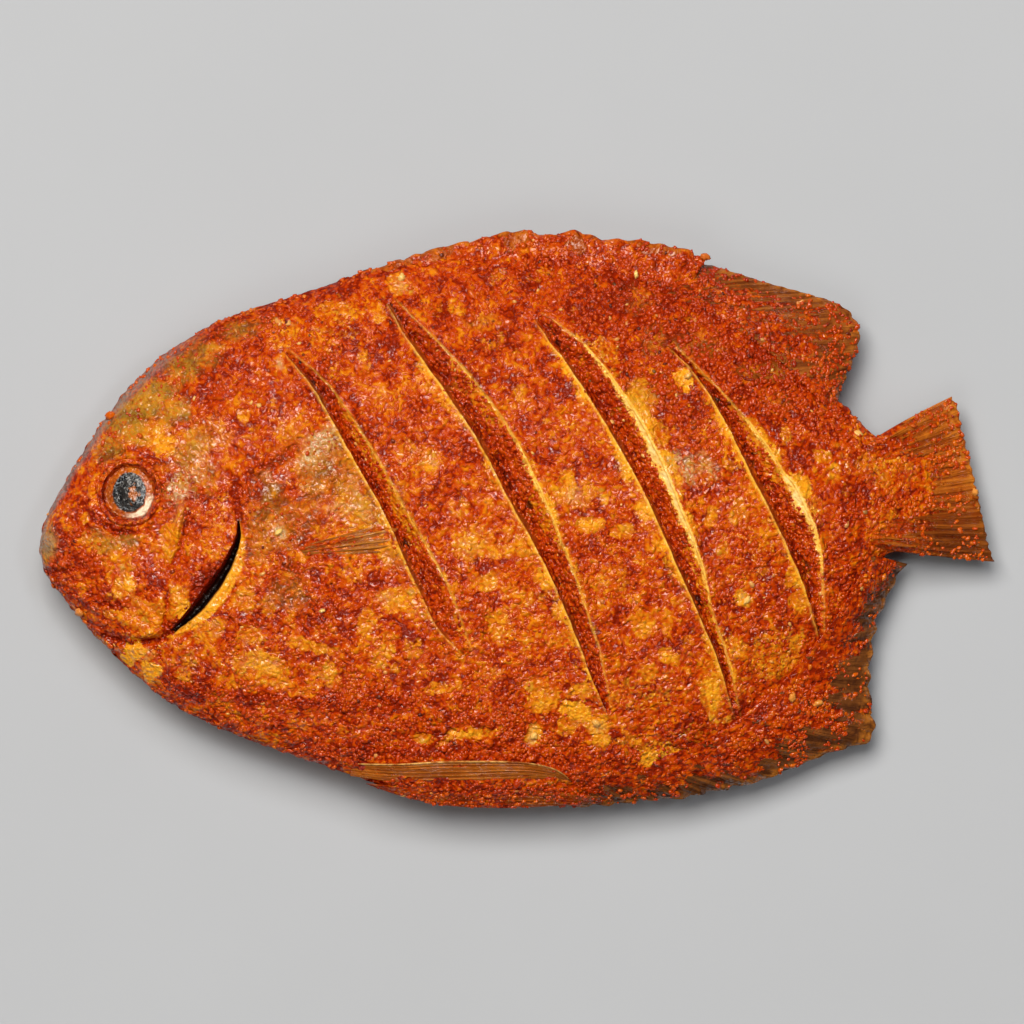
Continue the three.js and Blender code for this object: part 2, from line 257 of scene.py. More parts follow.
# ---------------------------------------------------------------------------
# Lines on the flank: each is a curve through a few grid points
# ---------------------------------------------------------------------------
class Line:
    """A curve with values along it: rows of grid x, grid y, then anything else."""

    def __init__(self, rows, n=160):
        rows = np.array(rows, float)
        rows[:, 0] = gx(rows[:, 0])
        rows[:, 1] = gy(rows[:, 1])
        self.rows = rows
        self.t = np.linspace(0, 1, n)
        self.p = catmull(rows, self.t)
        d = np.gradient(self.p[:, :2], axis=0)
        self.tan = d / np.maximum(np.linalg.norm(d, axis=1, keepdims=True), 1e-9)
        self.nor = np.stack([-self.tan[:, 1], self.tan[:, 0]], 1)
        self.len = np.linalg.norm(np.diff(self.p[:, :2], axis=0), axis=1).sum()

    def near(self, x, y, reach):
        """For the points within reach: their indices, signed distance, t and row values."""
        lo = self.p[:, :2].min(0) - reach
        hi = self.p[:, :2].max(0) + reach
        idx = np.where((x > lo[0]) & (x < hi[0]) & (y > lo[1]) & (y < hi[1]))[0]
        if len(idx) == 0:
            return idx, np.zeros(0), np.zeros(0), np.zeros((0, self.p.shape[1]))
        best = np.full(len(idx), 1e9)
        k = np.zeros(len(idx), int)
        for j in range(len(self.p)):
            d = (x[idx] - self.p[j, 0]) ** 2 + (y[idx] - self.p[j, 1]) ** 2
            m = d < best
            best[m] = d[m]
            k[m] = j
        keep = best < reach ** 2
        idx, k, best = idx[keep], k[keep], best[keep]
        rx, ry = x[idx] - self.p[k, 0], y[idx] - self.p[k, 1]
        side = rx * self.nor[k, 0] + ry * self.nor[k, 1]
        along = rx * self.tan[k, 0] + ry * self.tan[k, 1]
        # past an end, the distance is the true one, with the side's sign
        end = ((k == 0) & (along < 0)) | ((k == len(self.p) - 1) & (along > 0))
        dist = np.where(end, np.sign(side + 1e-12) * np.sqrt(best), side)
        t = self.t[k] + along / max(self.len, 1e-6)
        return idx, dist, np.clip(t, 0, 1), self.p[k]


def pair_line(rows, n=200):
    """A cut given by its two lips: rows of grid x, y of the left lip, x, y of the right lip, then values.
    Turns them into a middle line with a half width."""
    rows = np.array(rows, float)
    mid = np.stack([(rows[:, 0] + rows[:, 2]) / 2, (rows[:, 1] + rows[:, 3]) / 2], 1)
    line = Line(np.concatenate([mid, rows[:, 4:]], 1), n)
    half = np.stack([(rows[:, 2] - rows[:, 0]) / 2 * SCALE, -(rows[:, 3] - rows[:, 1]) / 2 * SCALE], 1)
    h = catmull(half, line.t)
    line.half = np.abs(h[:, 0] * line.nor[:, 0] + h[:, 1] * line.nor[:, 1])
    # the normal points to the left lip when going down the cut; flip so that + is the right lip
    if (h[:, 0] * line.nor[:, 0] + h[:, 1] * line.nor[:, 1]).mean() < 0:
        line.nor = -line.nor
    return line


# left lip x, y, right lip x, y, depth (mm), pale right lip (mm), glow of the left lip, glow of the right lip
SLASHES = [
    pair_line([
        (283, 350, 289, 349, 0.2, 0.10, 0.1, 0.1), (305, 378, 321, 378, 1.6, 0.15, 0.1, 0.1),
        (322, 402, 342, 402, 2.6, 0.20, 0.3, 0.2), (354, 460, 380, 462, 3.3, 0.22, 0.6, 0.3),
        (384, 512, 408, 512, 3.4, 0.25, 0.8, 0.4), (412, 575, 438, 565, 3.0, 0.25, 0.5, 0.5),
        (438, 628, 456, 606, 2.0, 0.20, 0.3, 0.4), (468, 658, 472, 652, 0.2, 0.10, 0.1, 0.2)]),
    pair_line([
        (386, 301, 394, 298, 0.2, 0.10, 0.1, 0.1), (402, 331, 420, 325, 1.8, 0.15, 0.3, 0.2),
        (427, 367, 452, 357, 2.8, 0.25, 0.9, 0.4), (449, 398, 478, 386, 3.4, 0.25, 0.8, 0.4),
        (480, 445, 512, 434, 3.8, 0.35, 0.3, 0.5), (508, 498, 540, 489, 4.0, 0.60, 0.4, 0.8),
        (539, 554, 565, 550, 3.6, 0.35, 0.6, 0.6), (566, 612, 585, 606, 2.8, 0.25, 0.8, 0.5),
        (589, 672, 602, 662, 1.7, 0.15, 0.7, 0.4), (607, 714, 611, 712, 0.2, 0.10, 0.2, 0.1)]),
    pair_line([
        (534, 318, 540, 312, 0.2, 0.10, 0.2, 0.1), (548, 341, 565, 330, 1.8, 0.20, 0.5, 0.3),
        (566, 364, 590, 352, 2.8, 0.45, 0.7, 0.6), (601, 418, 628, 402, 3.8, 0.95, 0.7, 1.0),
        (629, 466, 656, 452, 4.1, 1.35, 0.9, 1.1), (653, 513, 680, 508, 4.2, 1.20, 1.0, 0.8),
        (676, 565, 700, 560, 3.8, 0.75, 0.8, 0.5), (699, 617, 712, 612, 2.9, 0.25, 0.5, 0.4),
        (718, 662, 728, 660, 2.0, 0.25, 0.6, 0.7), (736, 724, 741, 720, 0.2, 0.10, 0.3, 0.3)]),
    pair_line([
        (664, 343, 671, 340, 0.2, 0.10, 0.1, 0.1), (690, 370, 708, 380, 1.8, 0.15, 0.4, 0.2),
        (718, 412, 742, 416, 3.0, 0.25, 0.8, 0.4), (741, 456, 768, 450, 3.6, 0.75, 0.9, 1.0),
        (752, 479, 782, 472, 3.75, 0.28, 0.8, 0.7),
        (764, 501, 797, 492, 3.9, 1.45, 0.7, 1.1), (786, 546, 818, 540, 3.7, 0.80, 0.7, 0.5),
        (804, 588, 823, 584, 2.7, 0.30, 0.8, 0.3), (819, 640, 823, 638, 0.2, 0.10, 0.3, 0.1)]),
]

# the gill opening: edge of the gill cover, rim of the shoulder, depth, pale rim (mm), glow, glow
GILL = pair_line([
    (238.5, 520, 240.5, 519, 0.6, 0.15, 0.0, 0.2), (236, 538, 242, 538, 3.2, 0.40, 0.0, 0.6),
    (224.5, 562, 237.0, 560, 5.0, 0.75, 0.0, 0.9), (209, 582, 226.5, 581, 5.2, 0.85, 0.0, 1.0),
    (194.5, 601, 212, 601, 5.0, 0.85, 0.0, 1.0), (181, 618, 196, 617, 4.0, 0.60, 0.0, 0.9),
    (169, 631, 176, 632, 1.6, 0.30, 0.0, 0.6)])

# creases and ridges of the head: x, y, half width (mm), height (mm, minus for a crease)
HEAD_LINES = [
    Line([(232, 486, 0.5, -0.3), (236, 500, 0.6, -0.8), (239, 516, 0.6, -1.1), (240, 530, 0.6, -0.8)]),   # above the slit
    Line([(174, 634, 0.8, -1.7), (160, 639, 0.7, -1.7), (140, 642, 0.65, -1.7), (120, 640, 0.6, -1.5),
          (104, 634, 0.6, -1.1), (88, 621, 0.6, -0.6)]),                     # fold between jaw and throat
    Line([(170, 627, 0.8, 0.5), (156, 633, 0.8, 0.8), (138, 635, 0.8, 0.8), (118, 633, 0.7, 0.5)]),
    Line([(187, 492, 0.8, 0.5), (182, 514, 0.9, 1.0), (177, 540, 0.9, 1.0), (168, 566, 0.8, 0.6)]),
    Line([(192, 497, 0.9, -0.3), (188, 518, 0.8, -0.8), (183, 544, 0.8, -0.7), (174, 569, 0.8, -0.4)]),
    Line([(168, 588, 0.5, -0.6), (168.5, 606, 0.45, -1.3), (164, 630, 0.45, -1.4)]),   # seam of the gill cover
    Line([(140, 594, 0.5, -0.4), (152, 588, 0.5, -0.8), (168, 589, 0.5, -0.9)]),
    Line([(137, 600, 0.6, 0.3), (146, 612, 0.7, 0.8), (154, 622, 0.6, 0.4)]),
    Line([(118, 612, 0.8, 0.3), (134, 624, 0.9, 0.8), (150, 627, 0.9, 0.7), (164, 619, 0.8, 0.3)]),
    Line([(97, 517, 0.8, -0.9), (110, 527, 0.9, -1.9), (126, 533, 0.8, -1.9), (142, 531, 0.7, -0.8)]),  # under the eye
    Line([(96, 474, 0.7, -0.5), (103, 461, 0.7, -0.9), (117, 452, 0.7, -0.9), (136, 450, 0.7, -0.4)]),
    Line([(38, 571, 0.7, -1.7), (52, 573, 0.7, -1.7), (66, 571, 0.6, -1.2), (80, 568, 0.6, -0.8), (90, 566, 0.5, -0.3)]),
    Line([(62, 541, 0.9, -0.4), (68, 536, 0.8, -1.0), (74, 533, 0.6, -0.3)]),
    Line([(62, 552, 0.9, -0.3), (74, 558, 0.9, -0.6), (88, 561, 0.9, -0.3)]),
    Line([(90, 592, 0.9, -0.3), (104, 603, 0.9, -0.7), (122, 606, 0.9, -0.3)]),
    Line([(215, 470, 1.0, -0.2), (228, 476, 1.0, -0.5), (239, 489, 0.9, -0.8), (240, 505, 0.8, -0.8)]),
    Line([(262, 470, 1.2, -0.3), (282, 460, 1.2, -0.8), (300, 448, 1.2, -0.4)]),
    Line([(112, 640, 0.6, -0.9), (116, 656, 0.6, -1.2), (124, 672, 0.6, -0.9), (136, 684, 0.6, -0.4)]),  # throat patch
    Line([(150, 640, 0.6, -0.5), (160, 652, 0.6, -0.8), (163, 668, 0.6, -0.4)]),
]

EYE = (gx(130.5), gy(492.5))
EYE_DISC = 6.9         # reach of the eye's own mesh

# ---------------------------------------------------------------------------
# Patches where the coat is thin or thick: grid x, y, half sizes, turn in
# degrees, strength. Kinds: a amber skin, d dark paste, o olive skin, g pale scales with painted glare
# ---------------------------------------------------------------------------
PATCHES = [
    # amber
    ("a", 355, 505, 20, 34, 25, 0.75), ("a", 332, 532, 30, 14, 10, 0.5), ("a", 378, 545, 12, 26, 20, 0.7),
    ("a", 245, 600, 15, 17, 0, 0.6), ("a", 270, 606, 9, 14, 0, 0.5), ("a", 210, 632, 20, 13, 20, 0.75),
    ("a", 250, 636, 15, 13, 0, 0.6), ("a", 265, 667, 36, 15, -25, 0.95), ("a", 304, 644, 14, 7, -10, 0.8),
    ("a", 326, 650, 10, 8, 0, 0.9), ("a", 331, 672, 11, 14, 0, 0.7), ("a", 400, 600, 22, 18, 15, 0.9),
    ("a", 368, 624, 8, 20, 0, 0.7), ("a", 384, 655, 10, 12, 0, 0.85), ("a", 410, 648, 9, 14, 20, 0.7),
    ("a", 431, 465, 10, 12, 0, 0.85), ("a", 475, 541, 22, 15, 0, 0.8), ("a", 502, 550, 17, 14, 0, 0.75),
    ("a", 490, 580, 16, 9, 10, 0.8), ("a", 500, 620, 12, 20, -15, 0.85), ("a", 465, 505, 9, 14, 0, 0.6),
    ("a", 435, 690, 20, 8, 0, 0.5), ("a", 362, 362, 9, 26, 10, 0.5), ("a", 386, 395, 11, 14, 0, 0.55),
    ("a", 410, 445, 11, 14, 0, 0.5), ("a", 402, 285, 13, 10, 0, 0.8), ("a", 375, 315, 10, 14, 0, 0.6),
    ("a", 330, 310, 16, 15, 0, 0.5), ("a", 281, 364, 8, 11, 0, 0.8), ("a", 240, 420, 9, 10, 0, 0.7),
    ("a", 286, 430, 15, 13, 0, 0.5), ("a", 205, 446, 16, 14, 0, 0.5), ("a", 185, 606, 11, 20, 30, 0.95),
    ("a", 134, 655, 11, 9, 30, 1.0), ("a", 148, 670, 10, 10, 20, 1.0), ("a", 84, 520, 8, 10, 0, 0.7),
    ("a", 120, 560, 12, 17, 0, 0.7), ("a", 126, 582, 6, 9, 0, 0.8), ("a", 163, 443, 16, 12, 0, 0.9),
    ("a", 160, 606, 7, 12, 0, 0.5), ("a", 472, 736, 24, 8, 5, 1.0), ("a", 424, 735, 12, 5, 0, 0.8),
    ("a", 270, 738, 32, 9, -10, 0.4), ("a", 298, 725, 24, 8, 0, 0.35), ("a", 350, 735, 16, 7, 0, 0.4),
    ("a", 520, 395, 8, 12, 0, 0.6), ("a", 550, 420, 7, 9, 0, 0.5), ("a", 685, 378, 9, 13, 10, 1.0),
    ("a", 566, 490, 13, 19, 0, 0.8), ("a", 584, 492, 12, 16, 0, 0.7), ("a", 603, 498, 8, 11, 0, 0.95),
    ("a", 590, 525, 14, 8, 10, 0.95), ("a", 622, 530, 13, 9, 0, 0.85), ("a", 640, 512, 12, 14, -20, 0.8),
    ("a", 750, 421, 10, 8, 0, 0.7), ("a", 712, 516, 9, 13, 0, 0.8), ("a", 736, 510, 12, 14, 0, 0.7),
    ("a", 721, 545, 8, 13, 0, 0.6), ("a", 545, 580, 10, 10, 0, 0.95), ("a", 532, 600, 18, 13, 0, 0.6),
    ("a", 560, 612, 13, 10, 0, 0.75), ("a", 522, 545, 18, 20, 0, 0.55), ("a", 746, 600, 8, 11, 0, 1.0),
    ("a", 605, 582, 9, 13, 0, 0.6), ("a", 645, 625, 13, 13, 0, 0.8), ("a", 666, 622, 7, 18, 0, 0.7),
    ("a", 682, 602, 9, 13, 0, 0.6), ("a", 671, 661, 12, 9, 0, 0.9), ("a", 645, 666, 10, 9, 0, 0.75),
    ("a", 690, 640, 7, 13, 0, 0.5), ("a", 541, 697, 19, 18, 0, 0.95), ("a", 535, 734, 9, 12, 0, 0.95),
    ("a", 570, 725, 15, 11, 0, 0.9), ("a", 596, 720, 17, 15, 0, 1.0), ("a", 601, 741, 12, 10, 0, 0.95),
    ("a", 586, 690, 11, 9, 0, 0.7), ("a", 627, 740, 20, 7, 0, 0.5), ("a", 712, 696, 12, 22, 20, 0.95),
    ("a", 724, 717, 9, 9, 0, 1.0), ("a", 756, 650, 10, 10, 0, 0.5), ("a", 800, 642, 6, 12, 0, 0.7),
    ("a", 791, 572, 8, 18, -15, 0.8), ("a", 800, 602, 8, 15, -15, 0.85), ("a", 821, 455, 12, 8, -30, 0.7),
    ("a", 836, 472, 7, 12, -30, 0.6), ("a", 690, 300, 26, 5, -12, 0.35), ("a", 345, 338, 14, 10, 0, 0.4),
    ("a", 455, 303, 10, 8, 0, 0.55), ("a", 480, 322, 22, 7, 0, 0.4), ("a", 605, 350, 18, 12, -40, 0.5),
    ("a", 640, 400, 22, 14, -60, 0.7), ("a", 660, 430, 16, 20, -60, 0.55), ("a", 110, 600, 9, 9, 0, 0.4),
    ("a", 225, 500, 8, 12, 0, 0.4), ("a", 300, 590, 8, 8, 0, 0.4), ("a", 352, 575, 12, 8, 0, 0.4),
    ("a", 560, 560, 8, 12, 0, 0.5), ("a", 640, 560, 14, 8, 0, 0.5), ("a", 770, 540, 8, 14, -20, 0.5),
    ("a", 705, 470, 10, 16, 0, 0.5), ("a", 480, 655, 10, 8, 0, 0.4), ("a", 450, 660, 8, 8, 0, 0.4),
    # dark
    ("d", 262, 466, 16, 6, 25, 0.6), ("d", 325, 400, 7, 11, 0, 0.8), ("d", 470, 461, 8, 8, 0, 0.7),
    ("d", 500, 346, 15, 10, 0, 0.5), ("d", 322, 612, 9, 8, 0, 0.6), ("d", 285, 700, 62, 9, -2, 0.7),
    ("d", 388, 700, 34, 13, 0, 0.7), ("d", 500, 700, 20, 8, 0, 0.5), ("d", 405, 722, 40, 8, 0, 0.45),
    ("d", 366, 746, 11, 7, 0, 0.9), ("d", 412, 752, 46, 4, 0, 0.9), ("d", 560, 380, 7, 7, 0, 0.6),
    ("d", 566, 430, 7, 6, 0, 0.6), ("d", 682, 420, 16, 11, 0, 0.5), ("d", 755, 340, 13, 7, 0, 0.6),
    ("d", 778, 352, 11, 7, 0, 0.6), ("d", 826, 382, 14, 8, 0, 0.7), ("d", 820, 430, 7, 7, 0, 0.6),
    ("d", 780, 706, 20, 12, 0, 0.7), ("d", 811, 690, 11, 8, 0, 0.7), ("d", 851, 520, 9, 7, 0, 0.7),
    ("d", 842, 565, 10, 20, 10, 0.6), ("d", 481, 612, 8, 18, 0, 0.6), ("d", 460, 622, 11, 9, 0, 0.6),
    ("d", 660, 560, 10, 6, 0, 0.5), ("d", 640, 650, 8, 5, 0, 0.5), ("d", 620, 602, 7, 8, 0, 0.5),
    ("d", 780, 610, 10, 8, 0, 0.5), ("d", 200, 690, 30, 8, -20, 0.6), ("d", 150, 640, 10, 5, 0, 0.6),
    ("d", 72, 542, 8, 7, 0, 0.6), ("d", 95, 574, 12, 5, 0, 0.5), ("d", 105, 604, 16, 6, 0, 0.4),
    ("d", 250, 520, 8, 10, 0, 0.5), ("d", 300, 570, 14, 7, 0, 0.4), ("d", 335, 600, 14, 10, 0, 0.4),
    ("d", 450, 640, 12, 7, 0, 0.5), ("d", 730, 760, 40, 8, 10, 0.5), ("d", 500, 790, 60, 6, 0, 0.5),
    ("d", 590, 785, 30, 6, 0, 0.45), ("d", 470, 380, 10, 7, 0, 0.4), ("d", 470, 700, 20, 8, 0, 0.4),
    ("d", 560, 660, 16, 8, 0, 0.4), ("d", 700, 750, 30, 8, 0, 0.5), ("d", 335, 385, 12, 9, 0, 0.5),
    # olive
    ("o", 150, 398, 30, 16, 25, 1.2), ("o", 175, 412, 18, 14, 0, 0.9), ("o", 185, 370, 22, 13, 25, 0.8),
    ("o", 130, 425, 18, 16, 0, 1.0), ("o", 205, 352, 18, 12, 0, 0.8), ("o", 120, 545, 18, 10, 0, 0.8),
    ("o", 112, 448, 12, 14, 30, 0.8), ("o", 190, 452, 12, 18, 0, 0.7), ("o", 208, 478, 8, 18, 0, 0.5),
    ("o", 95, 535, 12, 10, 0, 0.6), ("o", 240, 330, 22, 10, 15, 0.6), ("a", 150, 430, 22, 11, 10, 0.8),
    ("a", 185, 432, 12, 10, 0, 0.7), ("a", 122, 575, 10, 22, 0, 0.9), ("a", 142, 610, 16, 12, 20, 0.8),
    ("a", 168, 545, 8, 22, 10, 0.6), ("a", 100, 545, 14, 10, 0, 0.6), ("a", 186, 606, 12, 24, 30, 1.2),
    ("o", 235, 330, 14, 8, 15, 0.4), ("o", 700, 345, 22, 12, 0, 0.35), ("o", 760, 372, 26, 9, 0, 0.45),
    ("o", 790, 335, 24, 8, 0, 0.5), ("o", 655, 345, 12, 18, 0, 0.4), ("o", 640, 300, 16, 12, 0, 0.3),
    ("o", 780, 400, 16, 10, 0, 0.35), ("o", 195, 430, 14, 12, 0, 0.5), ("o", 165, 470, 8, 8, 0, 0.3),
    ("o", 205, 470, 12, 14, 0, 0.35), ("o", 270, 500, 10, 10, 0, 0.3), ("o", 100, 455, 8, 12, 30, 0.5),
    ("o", 330, 470, 34, 34, 20, 0.50), ("o", 376, 505, 28, 24, 20, 0.45), ("o", 300, 520, 26, 22, 0, 0.30),
    ("o", 640, 400, 20, 16, -60, 0.45), ("o", 480, 322, 20, 8, 0, 0.30), ("o", 395, 560, 16, 10, 0, 0.35),
    ("g", 178, 490, 12, 20, 0, 0.9), ("g", 196, 486, 8, 18, 0, 0.7), ("g", 322, 450, 14, 22, -30, 0.5),
    ("g", 690, 464, 15, 12, 0, 0.5), ("o", 50, 545, 9, 14, 0, 0.9), ("d", 62, 560, 14, 22, 0, 0.45),
    ("d", 84, 556, 22, 26, 0, 0.22), ("o", 274, 520, 26, 40, 0, 0.5), ("d", 280, 520, 30, 40, 0, 0.20),
    ("d", 770, 355, 44, 28, 20, 0.32), ("d", 690, 300, 40, 14, 12, 0.25), ("d", 855, 500, 14, 40, 0, 0.25),
    ("o", 345, 485, 40, 30, 20, 0.25), ("d", 600, 245, 70, 10, 0, 0.25), ("d", 150, 415, 26, 26, 0, 0.18),
    # bare bright skin
    ("b", 575, 712, 16, 10, 0, 0.8), ("b", 600, 740, 12, 8, 0, 0.7), ("b", 655, 745, 26, 10, 0, 0.5),
    ("b", 566, 490, 9, 14, 0, 0.5), ("b", 500, 550, 12, 9, 0, 0.5), ("b", 331, 672, 8, 10, 0, 0.5),
    ("b", 790, 715, 18, 8, 0, 0.3), ("b", 430, 465, 7, 9, 0, 0.5), ("b", 622, 530, 9, 6, 0, 0.5),
    ("b", 712, 516, 6, 9, 0, 0.5), ("b", 645, 625, 9, 9, 0, 0.5), ("b", 475, 541, 16, 9, 0, 0.5),
    ("b", 730, 650, 26, 16, 0, 0.5), ("b", 790, 660, 22, 14, 0, 0.5), ("b", 590, 690, 26, 14, 0, 0.45),
    ("o", 205, 430, 26, 18, 0, 0.30), ("o", 305, 455, 20, 26, 0, 0.30), ("o", 290, 590, 18, 18, 0, 0.35),
    ("d", 155, 420, 40, 40, 0, 0.27), ("d", 365, 500, 44, 40, 0, 0.24), ("d", 272, 520, 34, 46, 0, 0.24),
    ("d", 710, 465, 34, 44, 0, 0.14), ("d", 600, 285, 60, 34, 0, 0.18), ("d", 182, 492, 24, 24, 0, 0.20),
    ("b", 640, 690, 44, 22, 0, 0.40), ("b", 770, 650, 26, 30, 0, 0.45), ("b", 700, 735, 40, 14, 0, 0.35),
    ("b", 670, 765, 34, 18, 0, 0.8), ("b", 134, 653, 12, 10, 30, 1.7), ("b", 149, 671, 9, 12, 20, 1.7), ("b", 688, 379, 7, 10, 10, 0.9),
    ("b", 541, 697, 14, 12, 0, 0.55), ("b", 596, 720, 13, 11, 0, 0.65), ("b", 724, 716, 8, 8, 0, 0.8),
    ("b", 713, 694, 8, 17, 20, 0.75), ("b", 535, 734, 7, 9, 0, 0.7), ("b", 472, 736, 20, 6, 5, 0.75),
    ("b", 186, 606, 7, 20, 30, 0.7), ("b", 265, 667, 24, 8, -25, 0.6), ("b", 545, 580, 8, 8, 0, 0.6),
    ("b", 605, 500, 7, 9, 0, 0.6), ("b", 590, 525, 12, 6, 10, 0.6), ("b", 671, 661, 9, 7, 0, 0.55),
    ("b", 746, 600, 6, 10, 0, 0.7), ("b", 400, 600, 12, 10, 15, 0.45), ("b", 640, 514, 9, 10, -20, 0.6),
    ("b", 163, 440, 12, 8, 0, 0.6), ("b", 126, 582, 5, 8, 0, 0.8), ("b", 326, 650, 8, 6, 0, 0.5),
    ("b", 502, 621, 8, 14, -15, 0.45), ("b", 281, 364, 6, 9, 0, 0.5), ("b", 402, 285, 9, 7, 0, 0.5),
    # pale scales, and painted glare on wet skin
    ("g", 326, 444, 13, 24, -30, 1.0), ("g", 318, 464, 16, 12, 0, 0.7), ("g", 180, 488, 13, 22, 0, 0.8),
    ("g", 360, 500, 10, 20, 25, 0.4), ("g", 675, 458, 6, 14, 0, 0.9), ("g", 689, 468, 8, 13, 0, 1.0),
    ("g", 703, 460, 6, 10, 0, 0.7), ("g", 712, 468, 5, 8, 0, 0.5), ("g", 335, 510, 16, 10, 0, 0.4),
    ("g", 280, 532, 4, 6, 0, 1.0), ("g", 270, 480, 8, 10, 0, 0.4), ("g", 265, 500, 8, 8, 0, 0.4),
    ("g", 746, 600, 4, 7, 0, 0.7), ("g", 534, 735, 5, 8, 0, 0.6), ("g", 723, 717, 4, 5, 0, 0.6),
    ("g", 280, 366, 5, 6, 0, 0.7), ("g", 402, 287, 8, 6, 0, 0.4), ("g", 205, 455, 10, 12, 0, 0.3),
    ("g", 145, 655, 8, 8, 0, 0.35), ("g", 575, 492, 8, 10, 0, 0.35), ("g", 470, 545, 10, 8, 0, 0.3),
    ("g", 260, 662, 14, 8, -25, 0.25), ("g", 596, 722, 7, 8, 0, 0.4), ("g", 385, 595, 10, 8, 0, 0.3),
]


def patch_fields(x, y, z):
    """Amber, dark, olive and pale strengths at points of the shown flank."""
    out = {k: np.zeros(len(x)) for k in "adogb"}
    p = np.stack([x, y, z], 1)
    wob = fbm(p, 3.2, 3, 31) * 0.75
    wx = x + fbm(p, 5.0, 2, 41) * 1.3
    wy = y + fbm(p, 5.0, 2, 47) * 1.3
    for kind, px, py, rx, ry, turn, amt in PATCHES:
        cx, cy = float(gx(px)), float(gy(py))
        r = max(rx, ry) * SCALE * 2.3
        m = np.where((np.abs(x - cx) < r) & (np.abs(y - cy) < r))[0]
        if not len(m):
            continue
        a = math.radians(turn)
        dx, dy = wx[m] - cx, wy[m] - cy
        u = (dx * math.cos(a) + dy * math.sin(a)) / (rx * SCALE)
        v = (-dx * math.sin(a) + dy * math.cos(a)) / (ry * SCALE)
        d = np.sqrt(u * u + v * v)
        f = amt * sstep(1.45, 0.45, d + wob[m])
        out[kind][m] = np.maximum(out[kind][m], f)
    return out


